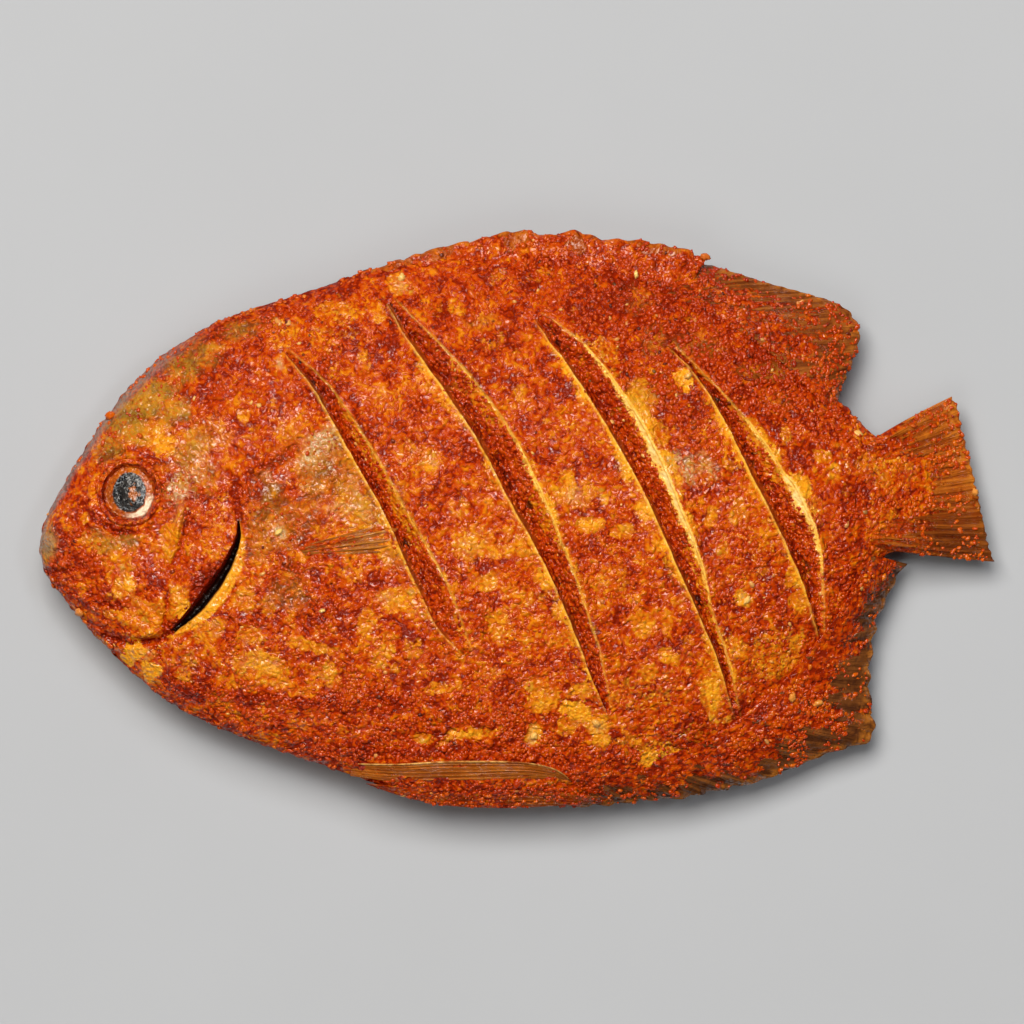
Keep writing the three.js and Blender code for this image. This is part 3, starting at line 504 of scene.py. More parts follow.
def surface_fields(x, y, z):
    """Everything the finish needs at points of the shown flank: a dict of 0..1 fields,
    and the height added to the plain flank by the head's lines and the cuts' puffed lips."""
    n = len(x)
    p = np.stack([x, y, z], 1)
    pf = patch_fields(x, y, z)
    amber, dark, olive, pale = pf["a"], pf["d"], pf["o"], pf["g"]
    rise = np.zeros(n)
    flesh = np.zeros(n)
    cut = np.zeros(n)          # how far inside a cut
    clean = np.zeros(n)        # the pale face of a cut and its lip, where few grains lie
    bright = pf["b"].copy()    # bare bright skin, and the tight skin beside the cuts
    grit = np.ones(n)          # how coarse the coat is

    # broad changes: the coat is redder and darker low on the belly, browner towards the rear of the back and darker
    # along the top
    low = sstep(-33, -46, y + fbm(p, 14, 2, 5) * 5)
    rear = sstep(12, 44, x + 0.35 * y + fbm(p, 14, 2, 7) * 7) * sstep(10, 30, y)
    drift = fbm(p, 9.0, 3, 11)
    dark = np.maximum(dark, 0.30 * low * (1 - 0.8 * amber))
    top = sstep(16, 42, y + fbm(p, 14, 2, 9) * 6)
    dark = np.clip(dark + 0.35 * rear + 0.28 * top + 0.22 * sstep(0.15, 0.7, drift), 0, 1)
    amber = np.clip(np.maximum(amber, 0.5 * sstep(0.12, 0.6, fbm(p, 6.0, 3, 13)) * (1 - low)), 0, 1)

    for s in SLASHES:
        idx, dist, t, row = s.near(x, y, 9.0)
        if not len(idx):
            continue
        half = np.interp(t, s.t, s.half)
        gl, gr, thick = row[:, 4], row[:, 5], row[:, 3]
        out_l = -dist - half
        out_r = dist - half
        inside = (out_l < 0) & (out_r < 0)
        reach_l = np.clip(gl, 0, 1.3)
        reach_r = np.clip(gr, 0, 1.3)
        al = reach_l * np.exp(-(np.maximum(out_l, 0) / (0.8 + 2.1 * reach_l)) ** 1.6) * (out_l > 0)
        ar = reach_r * np.exp(-(np.maximum(out_r - thick, 0) / (0.6 + 1.2 * reach_r)) ** 1.6) * (out_r > 0)
        brk = 0.70 + 0.95 * fbm(p[idx], 3.0, 3, 61)
        glow = np.clip((al + ar) * brk, 0, 1)
        bright[idx] = np.maximum(bright[idx], glow)
        dark[idx] *= 1 - 0.85 * np.clip(glow, 0, 1)
        grit[idx] *= 1 - 0.75 * np.clip(np.maximum(al, ar), 0, 1)
        ends = np.sin(np.pi * np.clip(t, 0, 1)) ** 0.5
        rise[idx] += ends * 0.45 * np.exp(-(np.maximum(out_l, 0) / 1.8) ** 2) * (out_l > -0.3)
        rise[idx] += ends * (0.35 + 0.25 * thick) * np.exp(-(np.maximum(out_r, 0) / 1.9) ** 2) * (out_r > -0.3)
        cut[idx] = np.maximum(cut[idx], inside * 1.0)
        clean[idx] = np.maximum(clean[idx], sstep(-thick - 0.5, -thick * 0.7, out_r) * sstep(0.7, 0.3, out_r))
        clean[idx] = np.maximum(clean[idx], 0.9 * sstep(0.9, 0.3, np.abs(out_l)))

    idx, dist, t, row = GILL.near(x, y, 14.0)
    if len(idx):
        half = np.interp(t, GILL.t, GILL.half)
        out_l = -dist - half
        out_r = dist - half
        ends = sstep(0, 0.25, t) * sstep(1.0, 0.9, t)
        rise[idx] += ends * 1.1 * np.exp(-(np.maximum(out_l, 0) / 6.5) ** 2) * (out_l > -0.5)
        rise[idx] -= ends * 0.5 * np.exp(-(np.maximum(out_r, 0) / 5.0) ** 2) * (out_r > 0)
        # a dip under the gill cover's overhanging edge, with painted shade: the skin there is darkened and loses its
        # amber
        over = sstep(0.22, 0.42, t) * np.exp(-(np.maximum(out_l, 0) / 1.1) ** 2) * (out_l > -0.6)
        rise[idx] -= 1.1 * over
        dark[idx] = np.clip(dark[idx] + 0.85 * over, 0, 1.1)
        amber[idx] *= 1 - over
        gl = row[:, 5] * np.exp(-(np.maximum(out_r - row[:, 3], 0) / (0.4 + 1.0 * row[:, 5])) ** 2) * (out_r > 0)
        bright[idx] = np.maximum(bright[idx], np.clip(gl, 0, 1))
        dark[idx] *= 1 - 0.8 * np.clip(gl, 0, 1)
        grit[idx] *= 1 - 0.7 * np.clip(gl, 0, 1)
        cut[idx] = np.maximum(cut[idx], ((out_l < 0) & (out_r < 0)) * 1.0)

    for ln in HEAD_LINES:
        idx, dist, t, row = ln.near(x, y, 3.2)
        if not len(idx):
            continue
        w, h = row[:, 2], row[:, 3]
        taper = np.sin(np.pi * np.clip(t, 0.02, 0.98)) ** 0.4
        g = np.exp(-(dist / w) ** 2) * taper
        rise[idx] += h * g
        line = np.exp(-(dist / (0.62 * w)) ** 2) * taper
        # painted shade: creases are darkened along their line and lose their amber
        dark[idx] = np.clip(dark[idx] + np.where(h < 0, 1.1 * np.clip(-h, 0, 2) * line, 0), 0, 2)
        amber[idx] = np.clip(amber[idx] + np.where(h > 0, 0.8 * np.clip(h, 0, 1) * g, -0.8 * line), 0, 1)

    # the snout and the brow rim carry less coat; the rim's grey is also a painted reflection on the curving edge
    s = station(x)
    edge = (s[:, 1] - y)
    # painted reflection: the brow rim's grey band, on skin that carries little coat
    rim = sstep(3.4, 0.6, edge) * sstep(-60, -74, x) * sstep(-12, 4, y)
    snout = np.exp(-(((x - gx(46)) / 1.8) ** 2 + ((y - gy(543)) / 2.4) ** 2))
    bare_and_sheen = np.clip(rim + 0.8 * snout, 0, 1)
    nost = np.exp(-(((x - gx(141)) / 0.75) ** 2 + ((y - gy(417)) / 0.7) ** 2))
    rise -= 0.9 * nost
    # painted shade: the nostril pit is darkened
    dark = np.clip(dark + 1.8 * nost, 0, 2)
    tip = np.exp(-(((x - gx(47)) / 1.7) ** 2 + ((y - gy(545)) / 2.2) ** 2))
    olive = np.clip(olive + 0.8 * tip, 0, 1.2)

    # the eye sits in a shallow round hollow
    er = np.hypot(x - EYE[0], (y - EYE[1]) / 1.04)
    rise -= 1.6 * sstep(7.0, 4.6, er)
    rise += 0.5 * np.exp(-((er - 7.6) / 1.3) ** 2)

    thickc = np.clip(0.50 + 0.35 * fbm(p, 8.0, 3, 151) + 0.55 * dark + 0.25 * rear + 0.25 * low, 0.25, 1.1)
    grit = np.minimum(grit, 1.0) * thickc
    grit *= 1 - 0.60 * np.clip(amber, 0, 1)
    grit *= 1 - 0.5 * np.clip(olive, 0, 1)
    grit *= 1 - 0.6 * np.clip(pale, 0, 1)
    grit *= 1 - 0.85 * bare_and_sheen
    return dict(amber=amber, dark=dark, olive=olive, pale=pale, flesh=flesh, cut=cut, grit=grit,
                bare_and_sheen=bare_and_sheen, rise=rise, clean=clean, bright=bright)


def coat_height(p, grit):
    """Relief of the spice coat, in mm, with each crumb's own number for its colour."""
    lump = fbm(p, 7.0, 3, 101) * 0.30 + fbm(p, 3.6, 2, 103) * 0.22
    d1, e1, c1 = cells(p, 2.3, 201)
    d2, e2, c2 = cells(p, 1.35, 211)
    big = np.sqrt(np.maximum(0, 1 - (d1 / (0.30 + 0.34 * c1)) ** 2)) * (0.14 + 0.36 * c1)
    small = np.sqrt(np.maximum(0, 1 - (d2 / (0.36 + 0.32 * c2)) ** 2)) * (0.04 + 0.09 * c2)
    fine = fbm(p, 1.6, 2, 131) * 0.07
    h = lump + sstep(0.45, 1.0, grit) * big * 0.9 + grit * (small + fine)
    return h, c2


def pack_fields(ob, f, crumb):
    none = np.zeros(len(crumb))
    attr(ob, "mA", np.stack([f["flesh"], f["amber"], f["dark"]], 1))
    attr(ob, "mB", np.stack([f["olive"], f["pale"], f["grit"]], 1))
    attr(ob, "mC", np.stack([f["bare_and_sheen"], f["bright"], f["cut"]], 1))
    attr(ob, "mD", np.stack([f.get("lip", none), f.get("wall", none), f.get("gill", none)], 1))


# ---------------------------------------------------------------------------
# Body mesh: rings along X with an even spacing, joined by zipping
# ---------------------------------------------------------------------------
def ring_lists():
    fine = catmull(STATIONS, _ut)
    d = np.diff(fine, axis=0)
    ds = np.sqrt(d[:, 0] ** 2 + 0.30 * d[:, 1] ** 2 + 0.30 * d[:, 2] ** 2
                 + (d[:, 3] * MAX_THICK / 2) ** 2 * 0.5)
    s = np.concatenate([[0], np.cumsum(ds)])
    n = int(s[-1] / GRID_TOP)
    us = np.interp(np.linspace(0, s[-1], n), s, _ut)
    st = catmull(STATIONS, us)
    a = np.linspace(0, np.pi, 320)
    c = np.cos(a)
    w = np.sign(c) * np.abs(c) ** 0.85
    rings = []
    for x, back, belly, half, drop, full in st:
        yc, hy = (back + belly) / 2, (back - belly) / 2
        zc, h = AXIS_Z - drop, half * MAX_THICK / 2
        rise = flank(w, full)
        under = h + UNDER_SWELL * sstep(0.5, 0.9, half)
        top = np.stack([np.full_like(w, x), yc + hy * w, zc + h * rise], 1)
        bot = np.stack([np.full_like(w, x), yc + hy * w, zc - under * rise], 1)[::-1]
        parts = []
        for line, grid in ((top, GRID_TOP), (bot, GRID_UNDER)):
            q = np.concatenate([[0], np.cumsum(np.linalg.norm(np.diff(line, axis=0), axis=1))])
            m = max(6, int(q[-1] / grid))
            at = np.linspace(0, q[-1], m + 1)[:-1]
            parts.append(np.stack([np.interp(at, q, line[:, k]) for k in range(3)], 1))
        nt, nb = len(parts[0]), len(parts[1])
        # the ring's own parameter: 0..1 over the top, 1..2 underneath
        tt = np.concatenate([np.arange(nt) / nt, 1 + np.arange(nb) / nb])
        rings.append((np.concatenate(parts), tt, nt))
    return rings


def zip_rings(rings):
    verts, faces, ring_of = [], [], []
    start = 0
    starts = []
    for k, (v, t, nt) in enumerate(rings):
        starts.append(start)
        verts.append(v)
        ring_of.append(np.full(len(v), k))
        start += len(v)
    for r in range(len(rings) - 1):
        ta, tb = rings[r][1], rings[r + 1][1]
        na, nb = len(ta), len(tb)
        # merge the two rings' steps in order of their parameter
        ea = np.concatenate([ta[1:], [2.0]])
        eb = np.concatenate([tb[1:], [2.0]])
        key = np.concatenate([ea, eb + 1e-9])
        who = np.concatenate([np.zeros(na, int), np.ones(nb, int)])
        order = np.argsort(key, kind="stable")
        who = who[order]
        ia = np.concatenate([[0], np.cumsum(who == 0)])[:-1]
        ib = np.concatenate([[0], np.cumsum(who == 1)])[:-1]
        a0 = starts[r] + ia % na
        b0 = starts[r + 1] + ib % nb
        nxt = np.where(who == 0, starts[r] + (ia + 1) % na, starts[r + 1] + (ib + 1) % nb)
        faces.append(np.stack([a0, b0, nxt], 1))
    v = np.concatenate(verts)
    extra = []
    for end, sgn in ((0, -1), (len(rings) - 1, 1)):
        ring = rings[end][0]
        n = len(ring)
        c = ring.mean(0)
        inner0 = starts[end]
        prev = inner0 + np.arange(n)
        for k, (sc, dx) in enumerate(((0.72, 0.18), (0.4, 0.3), (0.0, 0.34))):
            if sc > 0:
                nv = c + (ring - c) * sc
                nv[:, 0] += sgn * dx
                base = len(v) + sum(len(e) for e in extra)
                extra.append(nv)
                ring_of.append(np.full(n, end))
                cur = base + np.arange(n)
                q = np.stack([prev, np.roll(prev, -1), np.roll(cur, -1), cur], 1)
                faces.append(np.concatenate([q[:, [0, 1, 2]], q[:, [0, 2, 3]]]) if end == 0
                             else np.concatenate([q[:, [0, 2, 1]], q[:, [0, 3, 2]]]))
                prev = cur
            else:
                tip = c.copy()
                tip[0] += sgn * dx
                base = len(v) + sum(len(e) for e in extra)
                extra.append(tip[None])
                ring_of.append(np.full(1, end))
                tri = np.stack([prev, np.roll(prev, -1), np.full(n, base)], 1)
                faces.append(tri if end == 0 else tri[:, [0, 2, 1]])
    return np.concatenate([v, *extra]), np.concatenate(faces), np.concatenate(ring_of)


def with_normals(ob, nrm):
    """Gives a mesh its own vertex normals, so that two shells meet without a line."""
    ob.data.normals_split_custom_set_from_vertices([tuple(q) for q in np.asarray(nrm, float)])


def build_body():
    v, f, ring_of = zip_rings(ring_lists())
    a, b, c = v[f[:, 0]], v[f[:, 1]], v[f[:, 2]]
    area = np.linalg.norm(np.cross(b - a, c - a), axis=1)
    f = f[area > 1e-7]
    f = orient(v, f)
    nor = tri_normals(v, f)
    x, y, z = v.T
    fields = surface_fields(x, y, z)
    up = sstep(-0.15, 0.25, nor[:, 2])
    # the underside has only the even coat
    for k in ("amber", "dark", "olive", "pale", "flesh", "cut", "bare_and_sheen", "bright"):
        fields[k] = fields[k] * up
    under = 1 - up
    fields["dark"] = np.clip(fields["dark"] + under * (0.30 + 0.35 * fbm(v, 8, 3, 77)), 0, 1)
    fields["amber"] = np.clip(fields["amber"] + under * np.clip(0.15 + 0.7 * fbm(v, 9, 3, 79), 0, 1), 0, 1)
    fields["grit"] = fields["grit"] * up + under * 0.9
    h, crumb = coat_height(v, fields["grit"])
    rise = fields["rise"] * up
    out = v + nor * (h * 1.0)[:, None]
    out[:, 2] += rise
    # the cuts: the skin drops away under their own liners
    drop = np.zeros(len(v))
    for s, extra in [(q, 0.9) for q in SLASHES] + [(GILL, 0.9)]:
        idx, dist, t, row = s.near(x, y, 5.0)
        if not len(idx):
            continue
        half = np.interp(t, s.t, s.half)
        e = half - np.abs(dist)
        d = (row[:, 2] + extra) * sstep(-0.55, 0.25, e) * sstep(0.0, 0.05, t) * sstep(1.0, 0.95, t)
        drop[idx] = np.maximum(drop[idx], d)
    er = np.hypot(x - EYE[0], (y - EYE[1]) / 1.04)
    drop = np.maximum(drop, 1.2 * sstep(6.2, 5.6, er))
    out[:, 2] -= drop * up
    # flat where it rests
    out[:, 2] = np.where(out[:, 2] < 0.35, 0.35 * np.exp(np.minimum(out[:, 2] - 0.35, 0) / 0.8), out[:, 2])
    nrm = tri_normals(out, f)
    calm = v.copy()
    calm[:, 2] += rise + (fbm(v, 7.0, 3, 101) * 0.30 + fbm(v, 3.6, 2, 103) * 0.22) * up
    calm = tri_normals(calm, f)
    # two closed shells that share one ring
    split = int(ring_of[np.argmin(np.abs(x - SPLIT_X) + (ring_of < 0) * 1e3)])
    made = []
    lo_f = ring_of[f].min(1)
    hi_f = ring_of[f].max(1)
    seam = np.where(ring_of == split)[0]
    for name, keep, flip in (("fish_body", hi_f <= split, False), ("fish_body_rear", lo_f >= split, True)):
        ff = f[keep]
        used = np.unique(ff)
        back = np.full(len(v) + 1, -1)
        back[used] = np.arange(len(used))
        vv = np.concatenate([out[used], out[seam].mean(0, keepdims=True)])
        nn = np.concatenate([nrm[used], [[1.0 if not flip else -1.0, 0, 0]]])
        ring = back[seam]
        cap = np.stack([ring, np.roll(ring, -1), np.full(len(ring), len(used))], 1)
        tri = np.concatenate([back[ff], cap])
        # the cap winds against the shell's own edges
        e = set(map(tuple, np.concatenate([back[ff][:, [0, 1]], back[ff][:, [1, 2]], back[ff][:, [2, 0]]]).tolist()))
        if (int(ring[0]), int(ring[1])) in e:
            tri[-len(cap):] = cap[:, [1, 0, 2]]
        ob = new_mesh(name, vv, tri)
        sub = {k: np.concatenate([q[used], [0.0]]) for k, q in fields.items()}
        pack_fields(ob, sub, np.concatenate([crumb[used], [0.0]]))
        with_normals(ob, nn)
        vector_attr(ob, "nS", np.concatenate([calm[used], [[1.0 if not flip else -1.0, 0, 0]]]))
        made.append((ob, vv, tri))
    return made


def flank_point(x, y):
    """Point and normal of the plain shown flank, with its fields and coat relief."""
    e = 0.15
    z = plain_z(x, y)
    zx = (plain_z(x + e, y) - plain_z(x - e, y)) / (2 * e)
    zy = (plain_z(x, y + e) - plain_z(x, y - e)) / (2 * e)
    nrm = np.stack([-np.clip(zx, -3, 3), -np.clip(zy, -3, 3), np.ones_like(z)], 1)
    nrm /= np.linalg.norm(nrm, axis=1, keepdims=True)
    return np.stack([x, y, z], 1), nrm


def grid_faces(nu, nv, wrap_v=False):
    """Quads over a grid of nu rows by nv columns."""
    i, j = np.meshgrid(np.arange(nu - 1), np.arange(nv if wrap_v else nv - 1), indexing="ij")
    i, j = i.ravel(), j.ravel()
    j1 = (j + 1) % nv
    return np.stack([i * nv + j, i * nv + j1, (i + 1) * nv + j1, (i + 1) * nv + j], 1)


def closed_sheet(upper, lower, nu, nv):
    """A closed shell from two grids of the same size, upper and lower."""
    q = grid_faces(nu, nv)
    k = nu * nv
    faces = [q, q[:, ::-1] + k]
    idx = np.arange(k).reshape(nu, nv)
    rim = np.concatenate([idx[0, :-1], idx[:-1, -1], idx[-1, :0:-1], idx[:0:-1, 0]])
    r2 = np.roll(rim, -1)
    faces.append(np.stack([rim, rim + k, r2 + k, r2], 1))
    return np.concatenate([upper, lower]), np.concatenate(faces)


def lined_sheet(upper, nu, nv, below):
    """A closed shell under a grid: plain sides and a plain bottom strip, below mm under each row's lowest point."""
    g = upper.reshape(nu, nv, 3)
    left, right = g[:, 0].copy(), g[:, -1].copy()
    zlow = g[..., 2].min(1) - below
    left[:, 2] = zlow
    right[:, 2] = zlow
    k = nu * nv
    idx = np.arange(k).reshape(nu, nv)
    li, ri = k + np.arange(nu), k + nu + np.arange(nu)
    q = grid_faces(nu, nv)
    tri = [q[:, [0, 1, 2]], q[:, [0, 2, 3]]]

    def quad(a, b, c, d):
        tri.append(np.stack([a, b, c], 1))
        tri.append(np.stack([a, c, d], 1))
    quad(idx[:-1, 0], idx[1:, 0], li[1:], li[:-1])
    quad(idx[1:, -1], idx[:-1, -1], ri[:-1], ri[1:])
    quad(li[:-1], li[1:], ri[1:], ri[:-1])
    m = nv - 1
    tri.append(np.stack([np.full(m, li[0]), idx[0, 1:], idx[0, :-1]], 1))
    tri.append(np.array([[li[0], ri[0], idx[0, -1]]]))
    tri.append(np.stack([np.full(m, li[-1]), idx[-1, :-1], idx[-1, 1:]], 1))
    tri.append(np.array([[li[-1], idx[-1, -1], ri[-1]]]))
    v = np.concatenate([upper, left, right])
    return v, orient(v, np.concatenate(tri))


def quads_out(v, f):
    t = np.concatenate([f[:, [0, 1, 2]], f[:, [0, 2, 3]]])
    a, b, c = v[t[:, 0]], v[t[:, 1]], v[t[:, 2]]
    vol = np.einsum("ij,ij->i", a, np.cross(b, c)).sum()
    return f if vol > 0 else f[:, ::-1].copy()


# ---------------------------------------------------------------------------
# Liners: the inside of each cut with its two lips, one closed shell each
# ---------------------------------------------------------------------------
def build_cut(name, s, gill=False, seed=0):
    nu = int(s.len / 0.28)
    tu = np.linspace(0.0, 1.0, nu)
    cx = np.interp(tu, s.t, s.p[:, 0])
    cy = np.interp(tu, s.t, s.p[:, 1])
    nx = np.interp(tu, s.t, s.nor[:, 0])
    ny = np.interp(tu, s.t, s.nor[:, 1])
    half = np.interp(tu, s.t, s.half)
    row = np.stack([np.interp(tu, s.t, s.p[:, k]) for k in range(s.p.shape[1])], 1)
    depth, thick = row[:, 2], row[:, 3]
    line0 = np.stack([cx, cy, cx * 0], 1)
    # across: mm outside the left lip, share of the opening, mm outside the right lip
    left = np.array([1.9, 1.5, 1.15, 0.85, 0.6, 0.4, 0.24, 0.11, 0.0])
    share = np.concatenate([np.array([0.03, 0.07, 0.11, 0.15, 0.19, 0.23, 0.275, 0.32]),
                            np.linspace(0.365, 0.985, 16)])
    right = np.array([0.0, 0.11, 0.24, 0.4, 0.6, 0.85, 1.15, 1.5, 1.9])
    nl, ns, nr = len(left), len(share), len(right)
    nv = nl + ns + nr
    cols = np.concatenate([-half[:, None] - left[None], half[:, None] * (2 * share - 1)[None],
                           half[:, None] + right[None]], 1)
    U = np.concatenate([np.zeros(nl), share, np.ones(nr)])[None] * np.ones((nu, 1))
    OL = np.concatenate([left, np.zeros(ns + nr)])[None] * np.ones((nu, 1))
    OR = np.concatenate([np.zeros(nl + ns), right])[None] * np.ones((nu, 1))
    isin = (np.concatenate([np.zeros(nl), np.ones(ns), np.zeros(nr)])[None] * np.ones((nu, 1))) > 0.5
    isleft = (np.arange(nv) < nl)[None] & np.ones((nu, 1), bool)
    isright = (np.arange(nv) >= nl + ns)[None] & np.ones((nu, 1), bool)
    width = 2 * half[:, None] * np.ones((1, nv))
    D = depth[:, None]
    TH = thick[:, None]
    # the opening's section
    wall = 0.24
    if gill:
        zin = -D * sstep(0.0, 0.46, U) ** 0.8 * (1 - 0.97 * sstep(0.60, 1.0, U) ** 1.2)
    else:
        drop = -D * 0.93 * np.clip(U / wall, 0, 1) ** 0.85
        floor_ = -D * 0.07 * sstep(wall, 0.34, U)
        g = np.clip((U - 0.34) / 0.66, 0, 1)
        zin = (drop + floor_) * (1 - g ** 0.85)
    zout = 0.14 * np.exp(-(OL / 0.5) ** 2) * isleft + (0.12 + 0.06 * TH) * np.exp(-(OR / 0.6) ** 2) * isright
    sink = -0.60 * sstep(1.25, 1.9, OL + OR)
    Z = np.where(isin, zin, zout + sink)
    # the lips wander a little
    wander = fbm(line0, 2.4, 3, 301 + seed)[:, None] * 0.16
    x = (cx[:, None] + nx[:, None] * (cols + wander)).ravel()
    y = (cy[:, None] + ny[:, None] * (cols + wander)).ravel()
    endsink = -0.6 * (sstep(0.02, 0.0, tu) + sstep(0.98, 1.0, tu))[:, None] * np.ones((1, nv))
    base, nrm = flank_point(x, y)
    f = surface_fields(x, y, base[:, 2])
    P = base
    blot = fbm(P, 2.2, 3, 351 + seed).reshape(nu, nv)
    fineb = fbm(P, 0.9, 2, 361 + seed).reshape(nu, nv)
    ends = np.sin(np.pi * np.clip(tu, 0, 1))[:, None] ** 0.35 * np.ones((1, nv))
    gl, gr = row[:, 4][:, None], row[:, 5][:, None]
    brk = np.clip(0.9 + 1.0 * fbm(line0, 2.0, 3, 331 + seed), 0.15, 1)[:, None]
    # bright skin edge on both lips
    lip = np.exp(-((OL - 0.08) / 0.32) ** 2) * isleft * np.clip(0.55 + 0.5 * gl, 0, 1)
    lip = lip + np.exp(-(OR / 0.22) ** 2) * isright * np.clip(0.5 + 0.5 * gr, 0, 1)
    lip = lip + isin * np.exp(-((1 - U) * width / 0.22) ** 2) * np.clip(0.5 + 0.5 * gr, 0, 1)
    lip = np.clip(lip * ends * brk, 0, 1)
    # pale cut face under the right lip
    start = 1 - TH / np.maximum(width, 0.3)
    flesh = isin * sstep(-0.14, 0.16, U - start - 0.18 * blot - 0.07 * fineb) * ends
    flesh = np.clip(flesh + isright * np.exp(-(OR / (0.10 + 0.25 * TH)) ** 2) * (TH > 0.4) * ends, 0, 1)
    flesh = flesh * np.clip(0.42 + 0.42 * TH + 0.25 * blot, 0.3, 1.0)
    barew = sstep(-0.15, 0.25, fbm(line0, 9.0, 2, 371 + seed) + 0.15)[:, None]
    # painted shade: the bare wall under the left lip is marked to be painted dark
    shaded_wall = isin * sstep(0.0, 0.02, U) * sstep(0.22, 0.10, U - 0.14 * blot) * barew
    # the valley beside the wall is painted darkest: dark paste, and painted shade at the bottom of the cut
    valley_dark_and_shade = isin * sstep(0.08, 0.22, U) * sstep(0.56, 0.28, U - 0.34 * blot)
    spots = np.clip(0.55 + 1.3 * fbm(P, 4.0, 3, 357 + seed).reshape(nu, nv), 0.1, 1.6)
    valley_dark_and_shade = np.clip(valley_dark_and_shade * spots, 0, 1.6)
    along = np.clip(0.35 + 1.6 * fbm(line0, 11.0, 2, 391 + seed), 0, 1)[:, None]
    slope = isin * sstep(-0.10, 0.14, U - (1.0 - 0.52 * along) - 0.12 * blot) * (1 - flesh) * ends
    if gill:
        slope = slope * 0
        shaded_wall = shaded_wall * 0
        # painted shade: the deep middle of the gill slit, to be painted near black
        valley_dark_and_shade = isin * sstep(0.26, 0.60, U) * sstep(0.95, 0.80, U)
        flesh = flesh * 0
        lip = lip * (isright | (U > 0.6)) * 0.8
    inner = isin.ravel()
    # inside the cut the dark field follows the valley: dark paste and painted shade
    f["dark"] = np.where(inner, np.clip(1.3 * valley_dark_and_shade + 0.35 * isin * (blot - 0.1), 0, 1.6).ravel(), f["dark"])
    amb = np.where(inner, (isin * np.clip(0.15 + 0.5 * blot + 0.55 * (gr - 0.55) * sstep(0.5, 1.0, U), 0, 1)).ravel(),
                   f["amber"])
    if gill:
        # painted shade: the gill slit is darkened towards its deep middle
        amb = np.where(inner, (isin * sstep(0.80, 0.95, U)).ravel(), f["amber"])
        f["dark"] = np.where(inner, (isin * (0.6 + 1.4 * sstep(0.05, 0.50, U)) * sstep(0.98, 0.85, U)).ravel(), f["dark"])
    f["amber"] = np.where(inner, np.maximum(amb, 0.85 * slope.ravel()), amb)
    f["flesh"] = flesh.ravel()
    f["olive"] = f["olive"] * ~inner
    f["bright"] = np.where(inner, 0.30 * slope.ravel(), f["bright"])
    f["pale"] = f["pale"] * ~inner
    f["cut"] = (isin * (1 - flesh)).ravel().astype(float)
    g = np.where(inner, 1.15, f["grit"])
    g = g * (1 - 0.80 * flesh.ravel()) * (1 - 0.9 * shaded_wall.ravel()) * (1 - 0.9 * lip.ravel())
    g = g * (1 - 0.65 * slope.ravel())
    if gill:
        g = np.where(inner, 0.12, g)
    f["grit"] = g
    f["lip"] = lip.ravel()
    f["wall"] = shaded_wall.ravel()
    f["gill"] = (valley_dark_and_shade if gill else valley_dark_and_shade * 0).ravel()
    h, crumb = coat_height(base, g)
    clot = np.where(inner, 0.70 * fbm(base, 1.9, 2, 381 + seed) * np.clip(g, 0, 1) * (0 if gill else 1), 0)
    out = base + nrm * (h * np.where(inner, 0.9, 1.0) + clot)[:, None]
    rise = f["rise"].reshape(nu, nv)
    rl, rr = rise[:, nl - 1][:, None], rise[:, nl + ns][:, None]
    rise = np.where(isin, rl * (1 - U) + rr * U, rise)
    out[:, 2] += (rise + Z + endsink).ravel() + np.where(inner, 0, 0.06)
    v, tri = lined_sheet(out, nu, nv, 0.5)
    ob = new_mesh(name, v, tri)
    extra = 2 * nu
    own = tri_normals(v, np.asarray(tri) if np.asarray(tri).shape[1] == 3 else
                      np.concatenate([np.asarray(tri)[:, [0, 1, 2]], np.asarray(tri)[:, [0, 2, 3]]]))
    own[:nu * nv] = np.where(inner[:, None], own[:nu * nv], nrm)
    vector_attr(ob, "nS", own)
    pack_fields(ob, {k: np.concatenate([q, np.zeros(extra)]) for k, q in f.items()},
                np.concatenate([crumb, np.zeros(extra)]))
    return ob, v, tri


